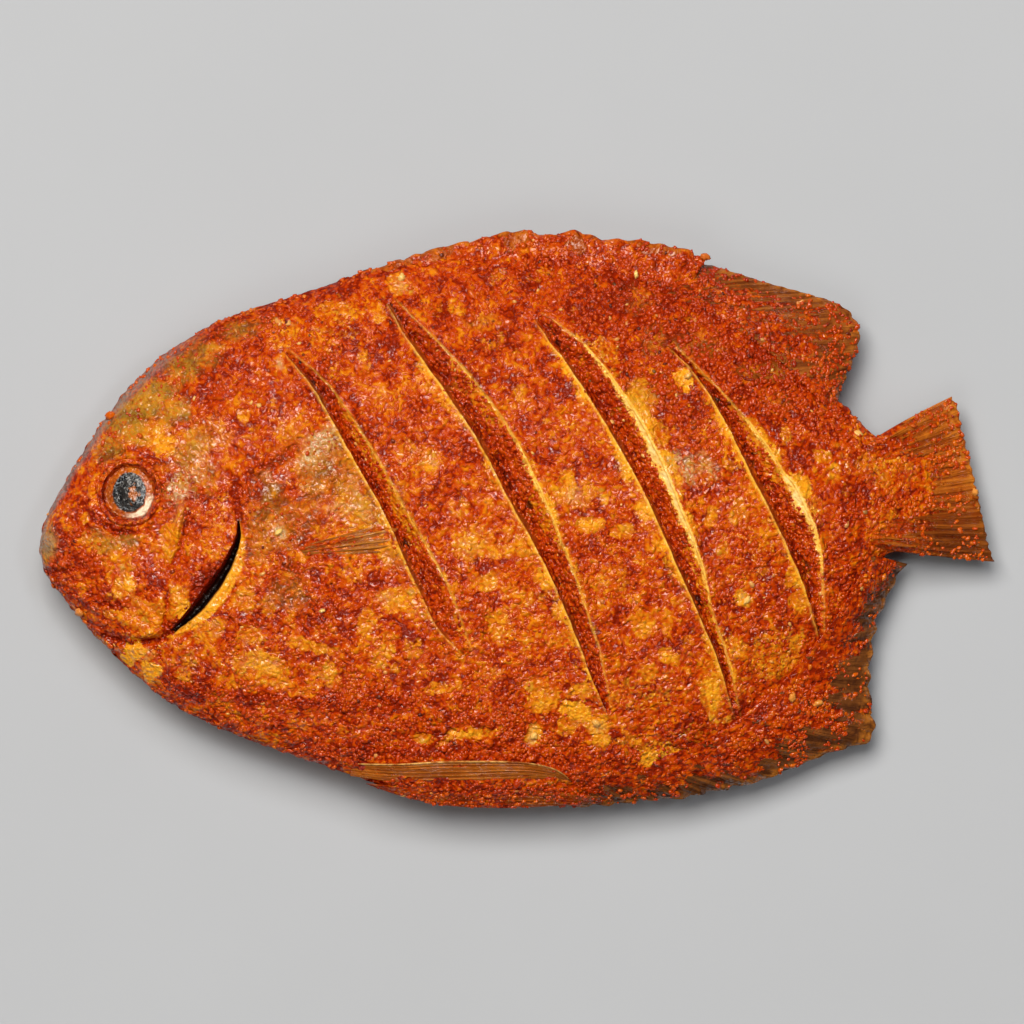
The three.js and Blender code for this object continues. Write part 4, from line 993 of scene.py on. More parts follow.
# ---------------------------------------------------------------------------
# Fins
# ---------------------------------------------------------------------------
def build_fin(name, root, edge, level, rays, along, per_ray=7, tooth=0.5, ridge=0.16, root_thick=2.6,
              edge_thick=0.8, coat=1.0, seed=0, bow=None, spread=1.0, edge_taper=0.35):
    """A rayed fin between a root line and an edge line, both functions of t."""
    nt = rays * per_ray + 1
    t = np.linspace(0, 1, nt)
    s = np.linspace(0, 1, along)
    ph = (t * rays) % 1.0
    ray = np.cos(2 * np.pi * ph)                   # 1 on a ray, -1 between two rays
    rid = np.floor(t * rays + 0.5)
    rj = _hash(rid, rid * 0, rid * 0, seed + 5) - 0.5
    a = root(t)
    b = edge(t)
    d = b - a
    ln = np.maximum(np.linalg.norm(d, axis=1), 1e-6)
    T, S = np.meshgrid(t, s, indexing="ij")
    back = tooth * (0.5 - 0.5 * ray) * (0.6 + 0.8 * (rj + 0.5)) + tooth * 0.8 * np.maximum(rj, 0)
    jag = fbm(np.stack([t * 40, t * 0, t * 0], 1), 1.0, 3, seed + 9) * tooth * 0.5
    reach = 1 - (back + jag)[:, None] * sstep(0.35, 1.0, S) / ln[:, None]
    x = a[:, 0][:, None] + d[:, 0][:, None] * S * reach
    y = a[:, 1][:, None] + d[:, 1][:, None] * S * reach
    if bow is not None:
        bx, by = bow(T, S)
        x, y = x + bx, y + by
    z = level(x.ravel(), y.ravel(), S.ravel(), T.ravel()).reshape(x.shape)
    P = np.stack([x.ravel(), y.ravel(), z.ravel()], 1)
    lump = coat * (0.5 + 0.5 * fbm(P, 3.0, 3, seed + 21)).reshape(x.shape)
    d2, e2, c2 = cells(P, 1.15, seed + 31)
    crumbs = (np.sqrt(np.maximum(0, 1 - (d2 / (0.3 + 0.3 * c2)) ** 2)) * (0.05 + 0.20 * c2)).reshape(x.shape)
    cover = np.clip(0.25 + 0.9 * fbm(P, 5.0, 3, seed + 41), 0, 1).reshape(x.shape)
    half = lerp(root_thick, edge_thick, S ** 0.8) / 2
    # thin rounded rim
    rimt = np.minimum(np.minimum(T, 1 - T) * rays * 1.2, 1.0) ** 0.5
    rims = sstep(1.0, 0.94, S) * (1 - edge_taper) + edge_taper
    half = half * (0.35 + 0.65 * rimt) * rims
    ridge_h = ridge * ray[:, None] * sstep(0.0, 0.2, S) * (1 - 0.35 * S)
    up = z + half + ridge_h + coat * (0.10 * lump + crumbs * cover)
    dn = z - half - 0.7 * ridge_h - coat * 0.5 * crumbs * cover
    upper = np.stack([x.ravel(), y.ravel(), up.ravel()], 1)
    lower = np.stack([x.ravel(), y.ravel(), dn.ravel()], 1)
    v, q = closed_sheet(upper, lower, nt, along)
    q = quads_out(v, q)
    ob = new_mesh(name, v, q)
    # the ray's own coordinates, so that streaks run along the rays
    across = (T * rays).ravel()
    length = (S * ln[:, None]).ravel()
    fuv = np.stack([across, length, np.full(len(across), seed * 1.37)], 1)
    vector_attr(ob, "fuv", np.concatenate([fuv, fuv]))
    cov = (np.clip(cover * coat, 0, 1)).ravel()
    tip = sstep(0.86, 1.0, S).ravel()
    rr = np.repeat(0.5 + 0.5 * ray, along)
    attr(ob, "fA", np.concatenate([np.stack([cov, tip, rr], 1)] * 2))
    attr(ob, "fB", np.concatenate([np.stack([c2, T.ravel(), S.ravel()], 1)] * 2))
    return ob, v, q


def line_fn(rows):
    rows = np.array([(float(gx(a)), float(gy(b))) for a, b in rows])
    # even steps along the line
    u = np.linspace(0, 1, 400)
    p = catmull(rows, u)
    s = np.concatenate([[0], np.cumsum(np.linalg.norm(np.diff(p, axis=0), axis=1))])
    s /= s[-1]

    def f(t):
        k = np.interp(t, s, u)
        return catmull(rows, k)
    return f


def warp(fn, knots):
    """Slides a line's parameter, so that given shares of the root meet given shares of the edge."""
    a = np.array([k[0] for k in knots], float)
    b = np.array([k[1] for k in knots], float)
    return lambda t: fn(np.interp(t, a, b))


fins = []
piece_data = []


def dorsal_root(t):
    x = lerp(-33.0, 32.0, t)
    return np.stack([x, back_y(x) - 6.0], 1)


def from_flank(root, thick, sink, tip_z, power):
    """The middle height of a fin whose upper face comes out of the flank at its root."""
    def f(x, y, s, t):
        r = root(t)
        return lerp(plain_z(r[:, 0], r[:, 1]) - sink - thick / 2, axis_z(x) + tip_z, s ** power)
    return f


_dorsal_edge = line_fn([(372, 269), (400, 259), (430, 249), (462, 242), (500, 233), (524, 230), (548, 234),
                        (576, 230), (606, 238), (645, 240), (680, 247), (707, 256)])
fin_a = build_fin(
    "fin_dorsal_spiny", dorsal_root, _dorsal_edge,
    from_flank(dorsal_root, 5.6, 0.9, 0.8, 0.85), rays=15, along=26, per_ray=10, tooth=0.45, ridge=0.14,
    root_thick=5.6, edge_thick=1.6, coat=1.7, seed=11)


def dorsal_soft_root(t):
    x = lerp(24.0, 63.0, t)
    return np.stack([x, back_y(x) - 4.2], 1)


_lobe_edge = line_fn([(700, 262), (728, 269), (760, 280), (790, 288), (815, 295), (832, 300), (852, 312),
                      (861, 328), (859, 350), (850, 372), (841, 391)])
fin_b = build_fin(
    "fin_dorsal_lobe", warp(dorsal_soft_root, [(0, 0), (0.35, 0.13), (0.62, 0.38), (0.85, 0.74), (1, 1)]), _lobe_edge,
    lambda x, y, s, t: axis_z(x) + 0.9 - 3.8 * s * s + 0.5 * np.sin(7 * t + 1.0) * s, rays=17, along=40,
    per_ray=8, tooth=0.35, ridge=0.10, root_thick=5.4, edge_thick=0.9, coat=0.8, seed=23)

_anal_edge = line_fn([(560, 808), (600, 807), (640, 803), (680, 800), (720, 793), (762, 782), (800, 767),
                      (838, 752), (872, 742), (878, 724), (872, 700), (873, 664), (876, 636), (884, 611),
                      (893, 592), (900, 576), (908, 564)])


def anal_root(t):
    x = lerp(2.0, 70.5, t)
    return np.stack([x, belly_y(x) + lerp(4.6, 3.2, t)], 1)


fin_c = build_fin(
    "fin_anal", anal_root, _anal_edge,
    lambda x, y, s, t: axis_z(x) + 0.6 - 4.6 * s * s + 0.5 * np.sin(9 * t) * s, rays=21, along=36, per_ray=8,
    tooth=0.9, ridge=0.12, root_thick=5.6, edge_thick=1.0, coat=1.1, seed=37)


def tail_root(t):
    return np.stack([lerp(69.5, 70.5, t), lerp(15.6, -5.4, t)], 1)


_tail_edge = line_fn([(953, 396), (959, 408), (964, 432), (971, 458), (978, 486), (983, 512), (989, 538),
                      (996, 562)])


def tail_bow(T, S):
    b = np.sin(np.pi * S)
    return -0.2 * b * (1 - T), 0.35 * b * (T - 0.5) * 2 * -1 * 0.6


fin_d = build_fin(
    "fin_tail", tail_root, _tail_edge,
    lambda x, y, s, t: lerp(axis_z(np.minimum(x, 72.0)), 6.2, sstep(0.05, 1.0, s)) + 0.5 * np.sin(5 * t + 2 * s) * s,
    rays=18, along=58, per_ray=8, tooth=0.30, ridge=0.13, root_thick=6.4, edge_thick=1.0, coat=0.9, seed=53,
    bow=tail_bow)


def on_flank(lift):
    def f(x, y, s, t):
        fl = surface_fields(x, y, plain_z(x, y))
        return plain_z(x, y) + fl["rise"] * 0.5 + lift
    return f


_pec_root = line_fn([(301, 546), (303, 551), (307, 556)])
_pec_edge = line_fn([(391, 522), (399, 530), (396, 540), (382, 552)])
fin_e = build_fin(
    "fin_pectoral", _pec_root, _pec_edge, on_flank(-0.10), rays=4, along=44, per_ray=10, tooth=2.2, ridge=0.20,
    root_thick=0.7, edge_thick=0.5, coat=0.35, seed=71, edge_taper=0.2)

_pel_up = line_fn([(352, 763), (400, 763), (440, 760.5), (480, 760), (520, 761), (545, 765), (560, 771), (572, 781)])
_pel_lo = line_fn([(350, 776), (400, 782), (440, 783), (480, 782), (520, 780), (548, 780), (562, 781), (571, 782)])
_pl2_up = line_fn([(366, 783), (410, 787), (450, 789), (490, 790), (530, 790), (570, 793), (600, 797)])
_pl2_lo = line_fn([(366, 784), (400, 796), (440, 805), (480, 808), (520, 808), (560, 806), (600, 803)])


def build_blade(name, upper_line, lower_line, height, rays, seed, spine, coat):
    """A folded fin blade whose rays run along it: rows across, columns along."""
    nt, ns = rays * 9 + 1, 150
    t = np.linspace(0, 1, nt)
    s = np.linspace(0, 1, ns)
    a = upper_line(s)
    b = lower_line(s)
    T, S = np.meshgrid(t, s, indexing="ij")
    x = a[:, 0][None] * (1 - T) + b[:, 0][None] * T
    y = a[:, 1][None] * (1 - T) + b[:, 1][None] * T
    ray = np.cos(2 * np.pi * T * rays)
    z = height(x.ravel(), y.ravel(), S.ravel(), T.ravel()).reshape(x.shape)
    P = np.stack([x.ravel(), y.ravel(), z.ravel()], 1)
    d2, e2, c2 = cells(P, 1.1, seed + 31)
    cover = np.clip(0.1 + 0.9 * fbm(P, 5.0, 3, seed + 41), 0, 1).reshape(x.shape) * coat
    crumbs = (np.sqrt(np.maximum(0, 1 - (d2 / (0.3 + 0.3 * c2)) ** 2)) * (0.05 + 0.20 * c2)).reshape(x.shape)
    spine_h = spine * np.exp(-((T - 0.04) / 0.06) ** 2) * sstep(1.0, 0.9, S)
    half = 0.75 * np.minimum(np.minimum(S * 8, (1 - S) * 14), 1) ** 0.5
    half = half * (0.4 + 0.6 * np.minimum(np.minimum(T, 1 - T) * 12, 1) ** 0.5)
    up = z + half + 0.05 * ray + spine_h + crumbs * cover
    dn = z - half * 2.2
    upper = np.stack([x.ravel(), y.ravel(), up.ravel()], 1)
    lower = np.stack([x.ravel(), y.ravel(), dn.ravel()], 1)
    v, q = closed_sheet(upper, lower, nt, ns)
    q = quads_out(v, q)
    ob = new_mesh(name, v, q)
    fuv = np.stack([(T * rays).ravel(), (S * 42).ravel(), np.full(T.size, seed * 1.37)], 1)
    vector_attr(ob, "fuv", np.concatenate([fuv, fuv]))
    tip = np.clip(np.exp(-((T - 0.04) / 0.055) ** 2) * (1.0 if spine > 0 else 0.0), 0, 1).ravel()
    attr(ob, "fA", np.concatenate([np.stack([cover.ravel(), tip, (0.5 + 0.5 * ray).ravel()], 1)] * 2))
    attr(ob, "fB", np.concatenate([np.stack([c2, T.ravel(), S.ravel()], 1)] * 2))
    return ob, v, q


def pelvic_height(x, y, s, t):
    inner = plain_z(x, np.maximum(y, belly_y(x) + 2.6))
    return inner + 0.50 - 1.5 * t ** 1.5 - 1.5 * sstep(0.16, 0.0, s)


def pelvic2_height(x, y, s, t):
    inner = plain_z(x, np.maximum(y, belly_y(x) + 1.3))
    return inner - 0.6 - 3.0 * t ** 1.3


fin_f = build_blade("fin_pelvic_upper", _pel_up, _pel_lo, pelvic_height, 6, 83, 0.55, 0.15)
fin_g = build_blade("fin_pelvic_lower", _pl2_up, _pl2_lo, pelvic2_height, 5, 97, 0.0, 1.2)

# ---------------------------------------------------------------------------
# Eye: a wet dome, its coloured ring, and the fold of skin round it
# ---------------------------------------------------------------------------
def build_eye():
    nr, na = 64, 132
    rr = np.concatenate([np.linspace(0.04, EYE_DISC, nr)])
    aa = np.linspace(0, 2 * np.pi, na, endpoint=False)
    Rr, A = np.meshgrid(rr, aa, indexing="ij")
    x = EYE[0] + Rr * np.cos(A)
    y = EYE[1] + Rr * np.sin(A) * 1.03
    X, Y = x.ravel(), y.ravel()
    base, nrm = flank_point(X, Y)
    R1, A1 = Rr.ravel(), A.ravel()
    P = np.stack([X, Y, base[:, 2]], 1)
    wob = fbm(P, 3.0, 2, 401) * 0.30
    ragged = fbm(P, 1.8, 3, 411)
    r = R1 + wob * sstep(2.5, 5, R1)
    dome = 0.95 * np.sqrt(np.maximum(0, 1 - (r / 4.75) ** 2)) + 0.12 * ragged * sstep(4.2, 2.0, r)
    bank = -1.05 + 0.55 * sstep(4.4, 5.3, r)
    upleft = 0.5 + 0.5 * np.cos(A1 - math.radians(145))
    groove = -0.34 * np.exp(-((r - 5.25) / 0.34) ** 2) * np.clip(0.35 + 0.7 * upleft + 1.2 * ragged, 0.1, 1.2)
    fold = (0.85 + 0.7 * ragged) * np.exp(-((r - 5.95) / 0.62) ** 2)
    # the fold is strongest below and behind; above and in front it is two thin lids
    fold *= 0.80 + 0.40 * np.cos(A1 + math.radians(60))
    fold = fold + upleft ** 2 * (0.35 * np.exp(-((r - 5.7) / 0.20) ** 2) + 0.40 * np.exp(-((r - 6.4) / 0.20) ** 2))
    z = bank + dome + groove + fold
    z += 0.45 * sstep(5.0, 5.8, r)
    z -= 0.9 * sstep(6.35, EYE_DISC, R1)
    rise = surface_fields(X, Y, base[:, 2])["rise"]
    rise_edge = rise + 1.6 * sstep(7.0, 4.6, np.hypot(X - EYE[0], (Y - EYE[1]) / 1.04))
    grit = sstep(4.5, 5.4, r) * 1.0
    h, crumb = coat_height(base, grit)
    h = h * sstep(4.4, 5.4, r)
    v = base.copy()
    v[:, 2] += z + h + rise_edge * sstep(4, 7, R1) - 0.1
    n = len(v)
    # closed below by a plain ring and a fan
    q = grid_faces(nr, na, wrap_v=True)
    last = (nr - 1) * na + np.arange(na)
    lowring = v[last].copy()
    lowring[:, 2] -= 2.6
    vv = np.concatenate([v, lowring, [[EYE[0], EYE[1], lowring[:, 2].mean()]], [v[:na].mean(0)]])
    lr = n + np.arange(na)
    nx_ = np.roll(np.arange(na), -1)
    tri = [q[:, [0, 1, 2]], q[:, [0, 2, 3]]]
    tri.append(np.stack([last[nx_], last, lr], 1)[:, ::-1])
    tri.append(np.stack([last[nx_], lr, lr[nx_]], 1)[:, ::-1])
    tri.append(np.stack([lr[nx_], lr, np.full(na, n + na)], 1)[:, ::-1])
    tri.append(np.stack([np.arange(na)[nx_], np.arange(na), np.full(na, n + na + 1)], 1))
    f = np.concatenate(tri)
    f = orient(vv, f)
    ob = new_mesh("fish_eye", vv, f)
    more = na + 2
    oval = np.hypot(np.cos(A1) / 0.92, np.sin(A1) / 1.07)
    eA = np.stack([r * lerp(oval, 1.0, sstep(3.6, 5.2, r)) / 6.0, (np.cos(A1) + 1) / 2, (np.sin(A1) + 1) / 2], 1)
    attr(ob, "eA", np.concatenate([eA, np.ones((na + 1, 3)), [[0.0, 0.5, 0.5]]]))
    fl = surface_fields(X, Y, base[:, 2])
    fl["grit"] = grit
    fl["cut"] = fl["cut"] * 0
    # painted shade: the groove round the eye is darkened, most at the upper left
    fl["dark"] = np.clip(0.22 + 0.75 * (0.4 + 0.6 * upleft) * np.exp(-((r - 5.3) / 0.35) ** 2)
                         + fl["dark"] * sstep(6.0, 6.8, r), 0, 1.6)
    fl["amber"] = fl["amber"] * sstep(6.0, 6.8, r)
    pack_fields(ob, {k: np.concatenate([w_, np.zeros(more)]) for k, w_ in fl.items()},
                np.concatenate([crumb, np.zeros(more)]))
    return ob, vv, f


body, body_rear = build_body()
cuts = [build_cut(f"cut_{i + 1}", s, seed=i * 10) for i, s in enumerate(SLASHES)]
gill = build_cut("gill_opening", GILL, gill=True, seed=77)
eye = build_eye()

# ---------------------------------------------------------------------------
# Loose grains on the coat
# ---------------------------------------------------------------------------
def tree_of(parts):
    vs, fs, base = [], [], 0
    for _, v, f in parts:
        f = np.asarray(f)
        if f.shape[1] == 4:
            f = np.concatenate([f[:, [0, 1, 2]], f[:, [0, 2, 3]]])
        vs.append(v)
        fs.append(f + base)
        base += len(v)
    v = np.concatenate(vs)
    f = np.concatenate(fs)
    return BVHTree.FromPolygons(v.tolist(), f.tolist(), all_triangles=True), v, f


base_parts = [body, body_rear, *cuts, gill, eye, fin_a, fin_b, fin_c, fin_d, fin_e, fin_f, fin_g]
TREE, TV, TF = tree_of(base_parts)


def ico(sub=0):
    p = (1 + 5 ** 0.5) / 2
    v = np.array([(-1, p, 0), (1, p, 0), (-1, -p, 0), (1, -p, 0), (0, -1, p), (0, 1, p), (0, -1, -p), (0, 1, -p),
                  (p, 0, -1), (p, 0, 1), (-p, 0, -1), (-p, 0, 1)], float)
    v /= np.linalg.norm(v, axis=1, keepdims=True)
    f = np.array([(0, 11, 5), (0, 5, 1), (0, 1, 7), (0, 7, 10), (0, 10, 11), (1, 5, 9), (5, 11, 4), (11, 10, 2),
                  (10, 7, 6), (7, 1, 8), (3, 9, 4), (3, 4, 2), (3, 2, 6), (3, 6, 8), (3, 8, 9), (4, 9, 5),
                  (2, 4, 11), (6, 2, 10), (8, 6, 7), (9, 8, 1)])
    for _ in range(sub):
        mid = {}
        vl = list(v)
        nf = []

        def m(a, b):
            k = (min(a, b), max(a, b))
            if k not in mid:
                q = (vl[a] + vl[b]) / 2
                mid[k] = len(vl)
                vl.append(q / np.linalg.norm(q))
            return mid[k]
        for a, b, c in f:
            ab, bc, ca = m(a, b), m(b, c), m(c, a)
            nf += [(a, ab, ca), (b, bc, ab), (c, ca, bc), (ab, bc, ca)]
        v, f = np.array(vl), np.array(nf)
    return v, f


def grains(name, centres, normals, sizes, flat, tint, shape, seed, long=None, sink=0.35):
    """Joined uneven grains: centres and normals (n,3), sizes in mm."""
    rng = np.random.default_rng(seed)
    n = len(centres)
    tv, tf = shape
    m = len(tv)
    nz = normals + rng.normal(size=(n, 3)) * 0.18
    nz /= np.linalg.norm(nz, axis=1, keepdims=True)
    ref = rng.normal(size=(n, 3))
    tx = np.cross(ref, nz)
    tx /= np.maximum(np.linalg.norm(tx, axis=1, keepdims=True), 1e-9)
    ty = np.cross(nz, tx)
    sx = sizes / 2 * rng.uniform(0.85, 1.45, n) * (long if long is not None else 1.0)
    sy = sizes / 2 * rng.uniform(0.60, 1.0, n)
    sz = sizes / 2 * flat * rng.uniform(0.7, 1.25, n)
    bump = 1 + rng.uniform(-0.26, 0.26, (n, m))
    loc = tv[None] * bump[..., None]
    v = (loc[..., 0:1] * (tx * sx[:, None])[:, None] + loc[..., 1:2] * (ty * sy[:, None])[:, None]
         + loc[..., 2:3] * (nz * sz[:, None])[:, None])
    v = v + (centres + nz * (sz * (1 - 2 * sink))[:, None])[:, None]
    f = (tf[None] + (np.arange(n) * m)[:, None, None]).reshape(-1, 3)
    ob = new_mesh(name, v.reshape(-1, 3), f)
    attr(ob, "gA", np.repeat(np.asarray(tint, float).reshape(n, 3), m, axis=0))
    return ob


def drop_points(n, seed, keep=None):
    """Random points of the silhouette dropped on the shown surfaces from above."""
    rng = np.random.default_rng(seed)
    P, N = [], []
    got = 0
    down = Vector((0, 0, -1))
    while got < n:
        xs = rng.uniform(-95.5, 95.5, 4000)
        ys = rng.uniform(-58, 58, 4000)
        if keep is not None:
            k = keep(xs, ys, rng)
            xs, ys = xs[k], ys[k]
        for x, y in zip(xs, ys):
            loc, nor, _, _ = TREE.ray_cast(Vector((x, y, 60)), down)
            if loc is None:
                continue
            if nor.z < 0:
                nor = -nor
            P.append(loc[:])
            N.append(nor[:])
            got += 1
            if got >= n:
                break
    return np.array(P), np.array(N)


def tint_of(p, rng):
    """Each grain takes its tone from the coat under it: red/orange position, pale share, dark share."""
    f = surface_fields(p[:, 0], p[:, 1], plain_z(p[:, 0], p[:, 1]))
    n = len(p)
    tone = np.clip(0.52 + 0.11 * rng.normal(size=n) + 0.24 * f["amber"] - 0.35 * np.clip(f["dark"], 0, 1) - 0.10 * f["cut"], 0, 1)
    off = np.maximum(np.maximum(p[:, 1] - back_y(p[:, 0]) + 1.0, belly_y(p[:, 0]) + 1.0 - p[:, 1]), p[:, 0] - 69.0)
    tone = np.clip(tone - 0.10 * (off > 2), 0, 1)
    pale = (rng.uniform(size=n) < 0.010 + 0.03 * f["amber"]) * rng.uniform(0.15, 0.75, n)
    darkg = (rng.uniform(size=n) < 0.010 + 0.06 * f["dark"]) * rng.uniform(0.3, 1.0, n)
    return np.stack([tone, pale, darkg], 1), f


def on_blade(xs, ys):
    """Inside the folded blade below the belly, which stays nearly clear of grains."""
    up = np.interp(xs, gx(np.array([352.0, 440, 520, 560, 572])), gy(np.array([762.0, 759.5, 760, 770, 781])))
    lo = np.interp(xs, gx(np.array([352.0, 440, 572])), gy(np.array([777.0, 784, 782])))
    return (xs > gx(348)) & (xs < gx(574)) & (ys < up + 0.35) & (ys > lo - 0.1)


def density(scale, power, thin):
    def keep(xs, ys, rng):
        p = np.stack([xs, ys, xs * 0], 1)
        f = surface_fields(xs, ys, np.zeros_like(xs) + 12)
        g = np.maximum(f["grit"], f["cut"] * 1.0)
        d = np.clip(thin + (1 - thin) * sstep(0.35, 0.95, g) + 0.35 * fbm(p, scale, 3, 501), 0.02, 1)
        d = d * (1 - 0.75 * f["amber"]) * (1 - 0.9 * f["bare_and_sheen"]) * (1 - 0.6 * f["pale"]) * (1 - 0.97 * f["clean"])
        d = d * (1 - 0.75 * np.clip(f["bright"], 0, 1))
        # the coat is smoother towards the rear of the belly
        d = d * (1 - 0.55 * sstep(8.0, 24.0, xs) * sstep(-26.0, -34.0, ys) * (1 - f["cut"]))
        off = np.maximum(np.maximum(ys - back_y(xs) + 1.5, belly_y(xs) + 1.0 - ys), (xs - 69.0) * 0.8)
        clump = np.clip(0.22 + 2.0 * fbm(p, 5.0, 2, 507), 0.06, 1) * (0.25 + 0.75 * sstep(15.0, 2.0, off))
        d = d * np.where(off > 0, clump, 1.0)
        near = np.hypot(xs - EYE[0], ys - EYE[1])
        d = d * np.where(near < 5.3, 0.0, 1.0) * np.where(on_blade(xs, ys), 0.03, 1.0)
        # nothing lies in the open gill slit
        idx, dist, t, row = GILL.near(xs, ys, 3.0)
        if len(idx):
            half = np.interp(t, GILL.t, GILL.half)
            d[idx] *= np.abs(dist) > half + 0.3
        return rng.uniform(size=len(xs)) < d ** power
    return keep


N_FINE, N_MID, N_BIG = 4500, 3800, 410
rng = np.random.default_rng(7)
Pf, Nf = drop_points(N_FINE, 21, density(4.0, 1.3, 0.12))
tint_f, _ = tint_of(Pf, rng)
g_fine = grains("grains_fine", Pf, Nf, rng.uniform(0.55, 0.95, N_FINE), 0.60, tint_f, ico(0), 31, sink=0.57)
Pm, Nm = drop_points(N_MID, 22, density(5.0, 1.6, 0.08))
tint_m, _ = tint_of(Pm, rng)
g_mid = grains("grains_mid", Pm, Nm, 0.75 + 0.55 * rng.uniform(size=N_MID) ** 1.8, 0.60, tint_m, ico(0), 32, sink=0.55)
Pb, Nb = drop_points(N_BIG, 23, density(6.0, 2.0, 0.03))
tint_b, _ = tint_of(Pb, rng)
g_big = grains("grains_big", Pb, Nb, 1.00 + 0.60 * rng.uniform(size=N_BIG) ** 2, 0.55, tint_b, ico(1), 33, sink=0.50)

def fin_keep(xs, ys, rng):
    p = np.stack([xs, ys, xs * 0], 1)
    off = np.maximum(np.maximum(ys - back_y(xs) + 1.0, belly_y(xs) + 1.0 - ys), (xs - 70.0) * 0.8)
    d = np.clip(0.14 + 2.2 * fbm(p, 4.0, 3, 517), 0.02, 1)
    return (off > 0) & ~on_blade(xs, ys) & (rng.uniform(size=len(xs)) < d)


N_FIN = 1400
Px, Nx = drop_points(N_FIN, 24, fin_keep)
tint_x, _ = tint_of(Px, rng)
tint_x[:, 0] = np.clip(tint_x[:, 0] + 0.20, 0, 1)
g_fin = grains("grains_fins", Px, Nx, 0.50 + 0.70 * rng.uniform(size=N_FIN) ** 1.7, 0.65, tint_x, ico(1), 35, sink=0.45)

# single beads and seeds: grid x, y, size (mm), tone, pale share, lift (mm)
SINGLES = [
    (107, 413, 1.9, 0.75, 0.0, 0.0), (80, 612, 1.7, 0.80, 0.25, 0.0), (792, 697, 1.3, 0.9, 0.25, 0.2),
    (818, 703, 1.4, 0.9, 0.30, 0.2), (323, 610, 1.0, 0.9, 0.9, 0.1), (976, 492, 1.5, 0.9, 0.3, 0.1),
    (402, 278, 1.5, 0.9, 0.9, 0.0), (636, 275, 1.2, 0.9, 1.0, 0.1), (280, 532, 1.2, 1.0, 1.0, 0.0),
    (141, 436, 1.5, 0.7, 0.0, 0.1), (104, 443, 1.3, 0.6, 0.0, 0.1), (688, 376, 1.6, 1.0, 0.6, 0.0),
    (746, 600, 1.3, 1.0, 0.9, 0.0), (534, 735, 1.5, 1.0, 0.8, 0.0), (596, 722, 1.4, 0.95, 0.6, 0.0),
    (152, 522, 1.2, 0.7, 0.0, 0.1), (93, 470, 1.1, 0.6, 0.0, 0.0), (705, 257, 1.6, 0.7, 0.1, 0.0),
]
sp, sn, ssz, stn = [], [], [], []
for px, py, size, tone, pal, lift in SINGLES:
    x, y = float(gx(px)), float(gy(py))
    loc, nor, _, _ = TREE.ray_cast(Vector((x, y, 60)), Vector((0, 0, -1)))
    if loc is None:
        loc, nor, _, _ = TREE.find_nearest(Vector((x, y, AXIS_Z + 2.0)))
    if nor.z < 0:
        nor = -nor
    sp.append((loc.x, loc.y, loc.z + lift))
    sn.append(nor[:])
    ssz.append(size)
    stn.append((tone, pal, 0.0))
singles = grains("seeds_and_beads", np.array(sp), np.array(sn), np.array(ssz), 0.75, np.array(stn), ico(2), 34, sink=0.35)

# ---------------------------------------------------------------------------
# Materials
# ---------------------------------------------------------------------------
def tree(name):
    m = bpy.data.materials.new(name)
    m.use_nodes = True
    nt = m.node_tree
    nt.nodes.clear()
    return m, nt


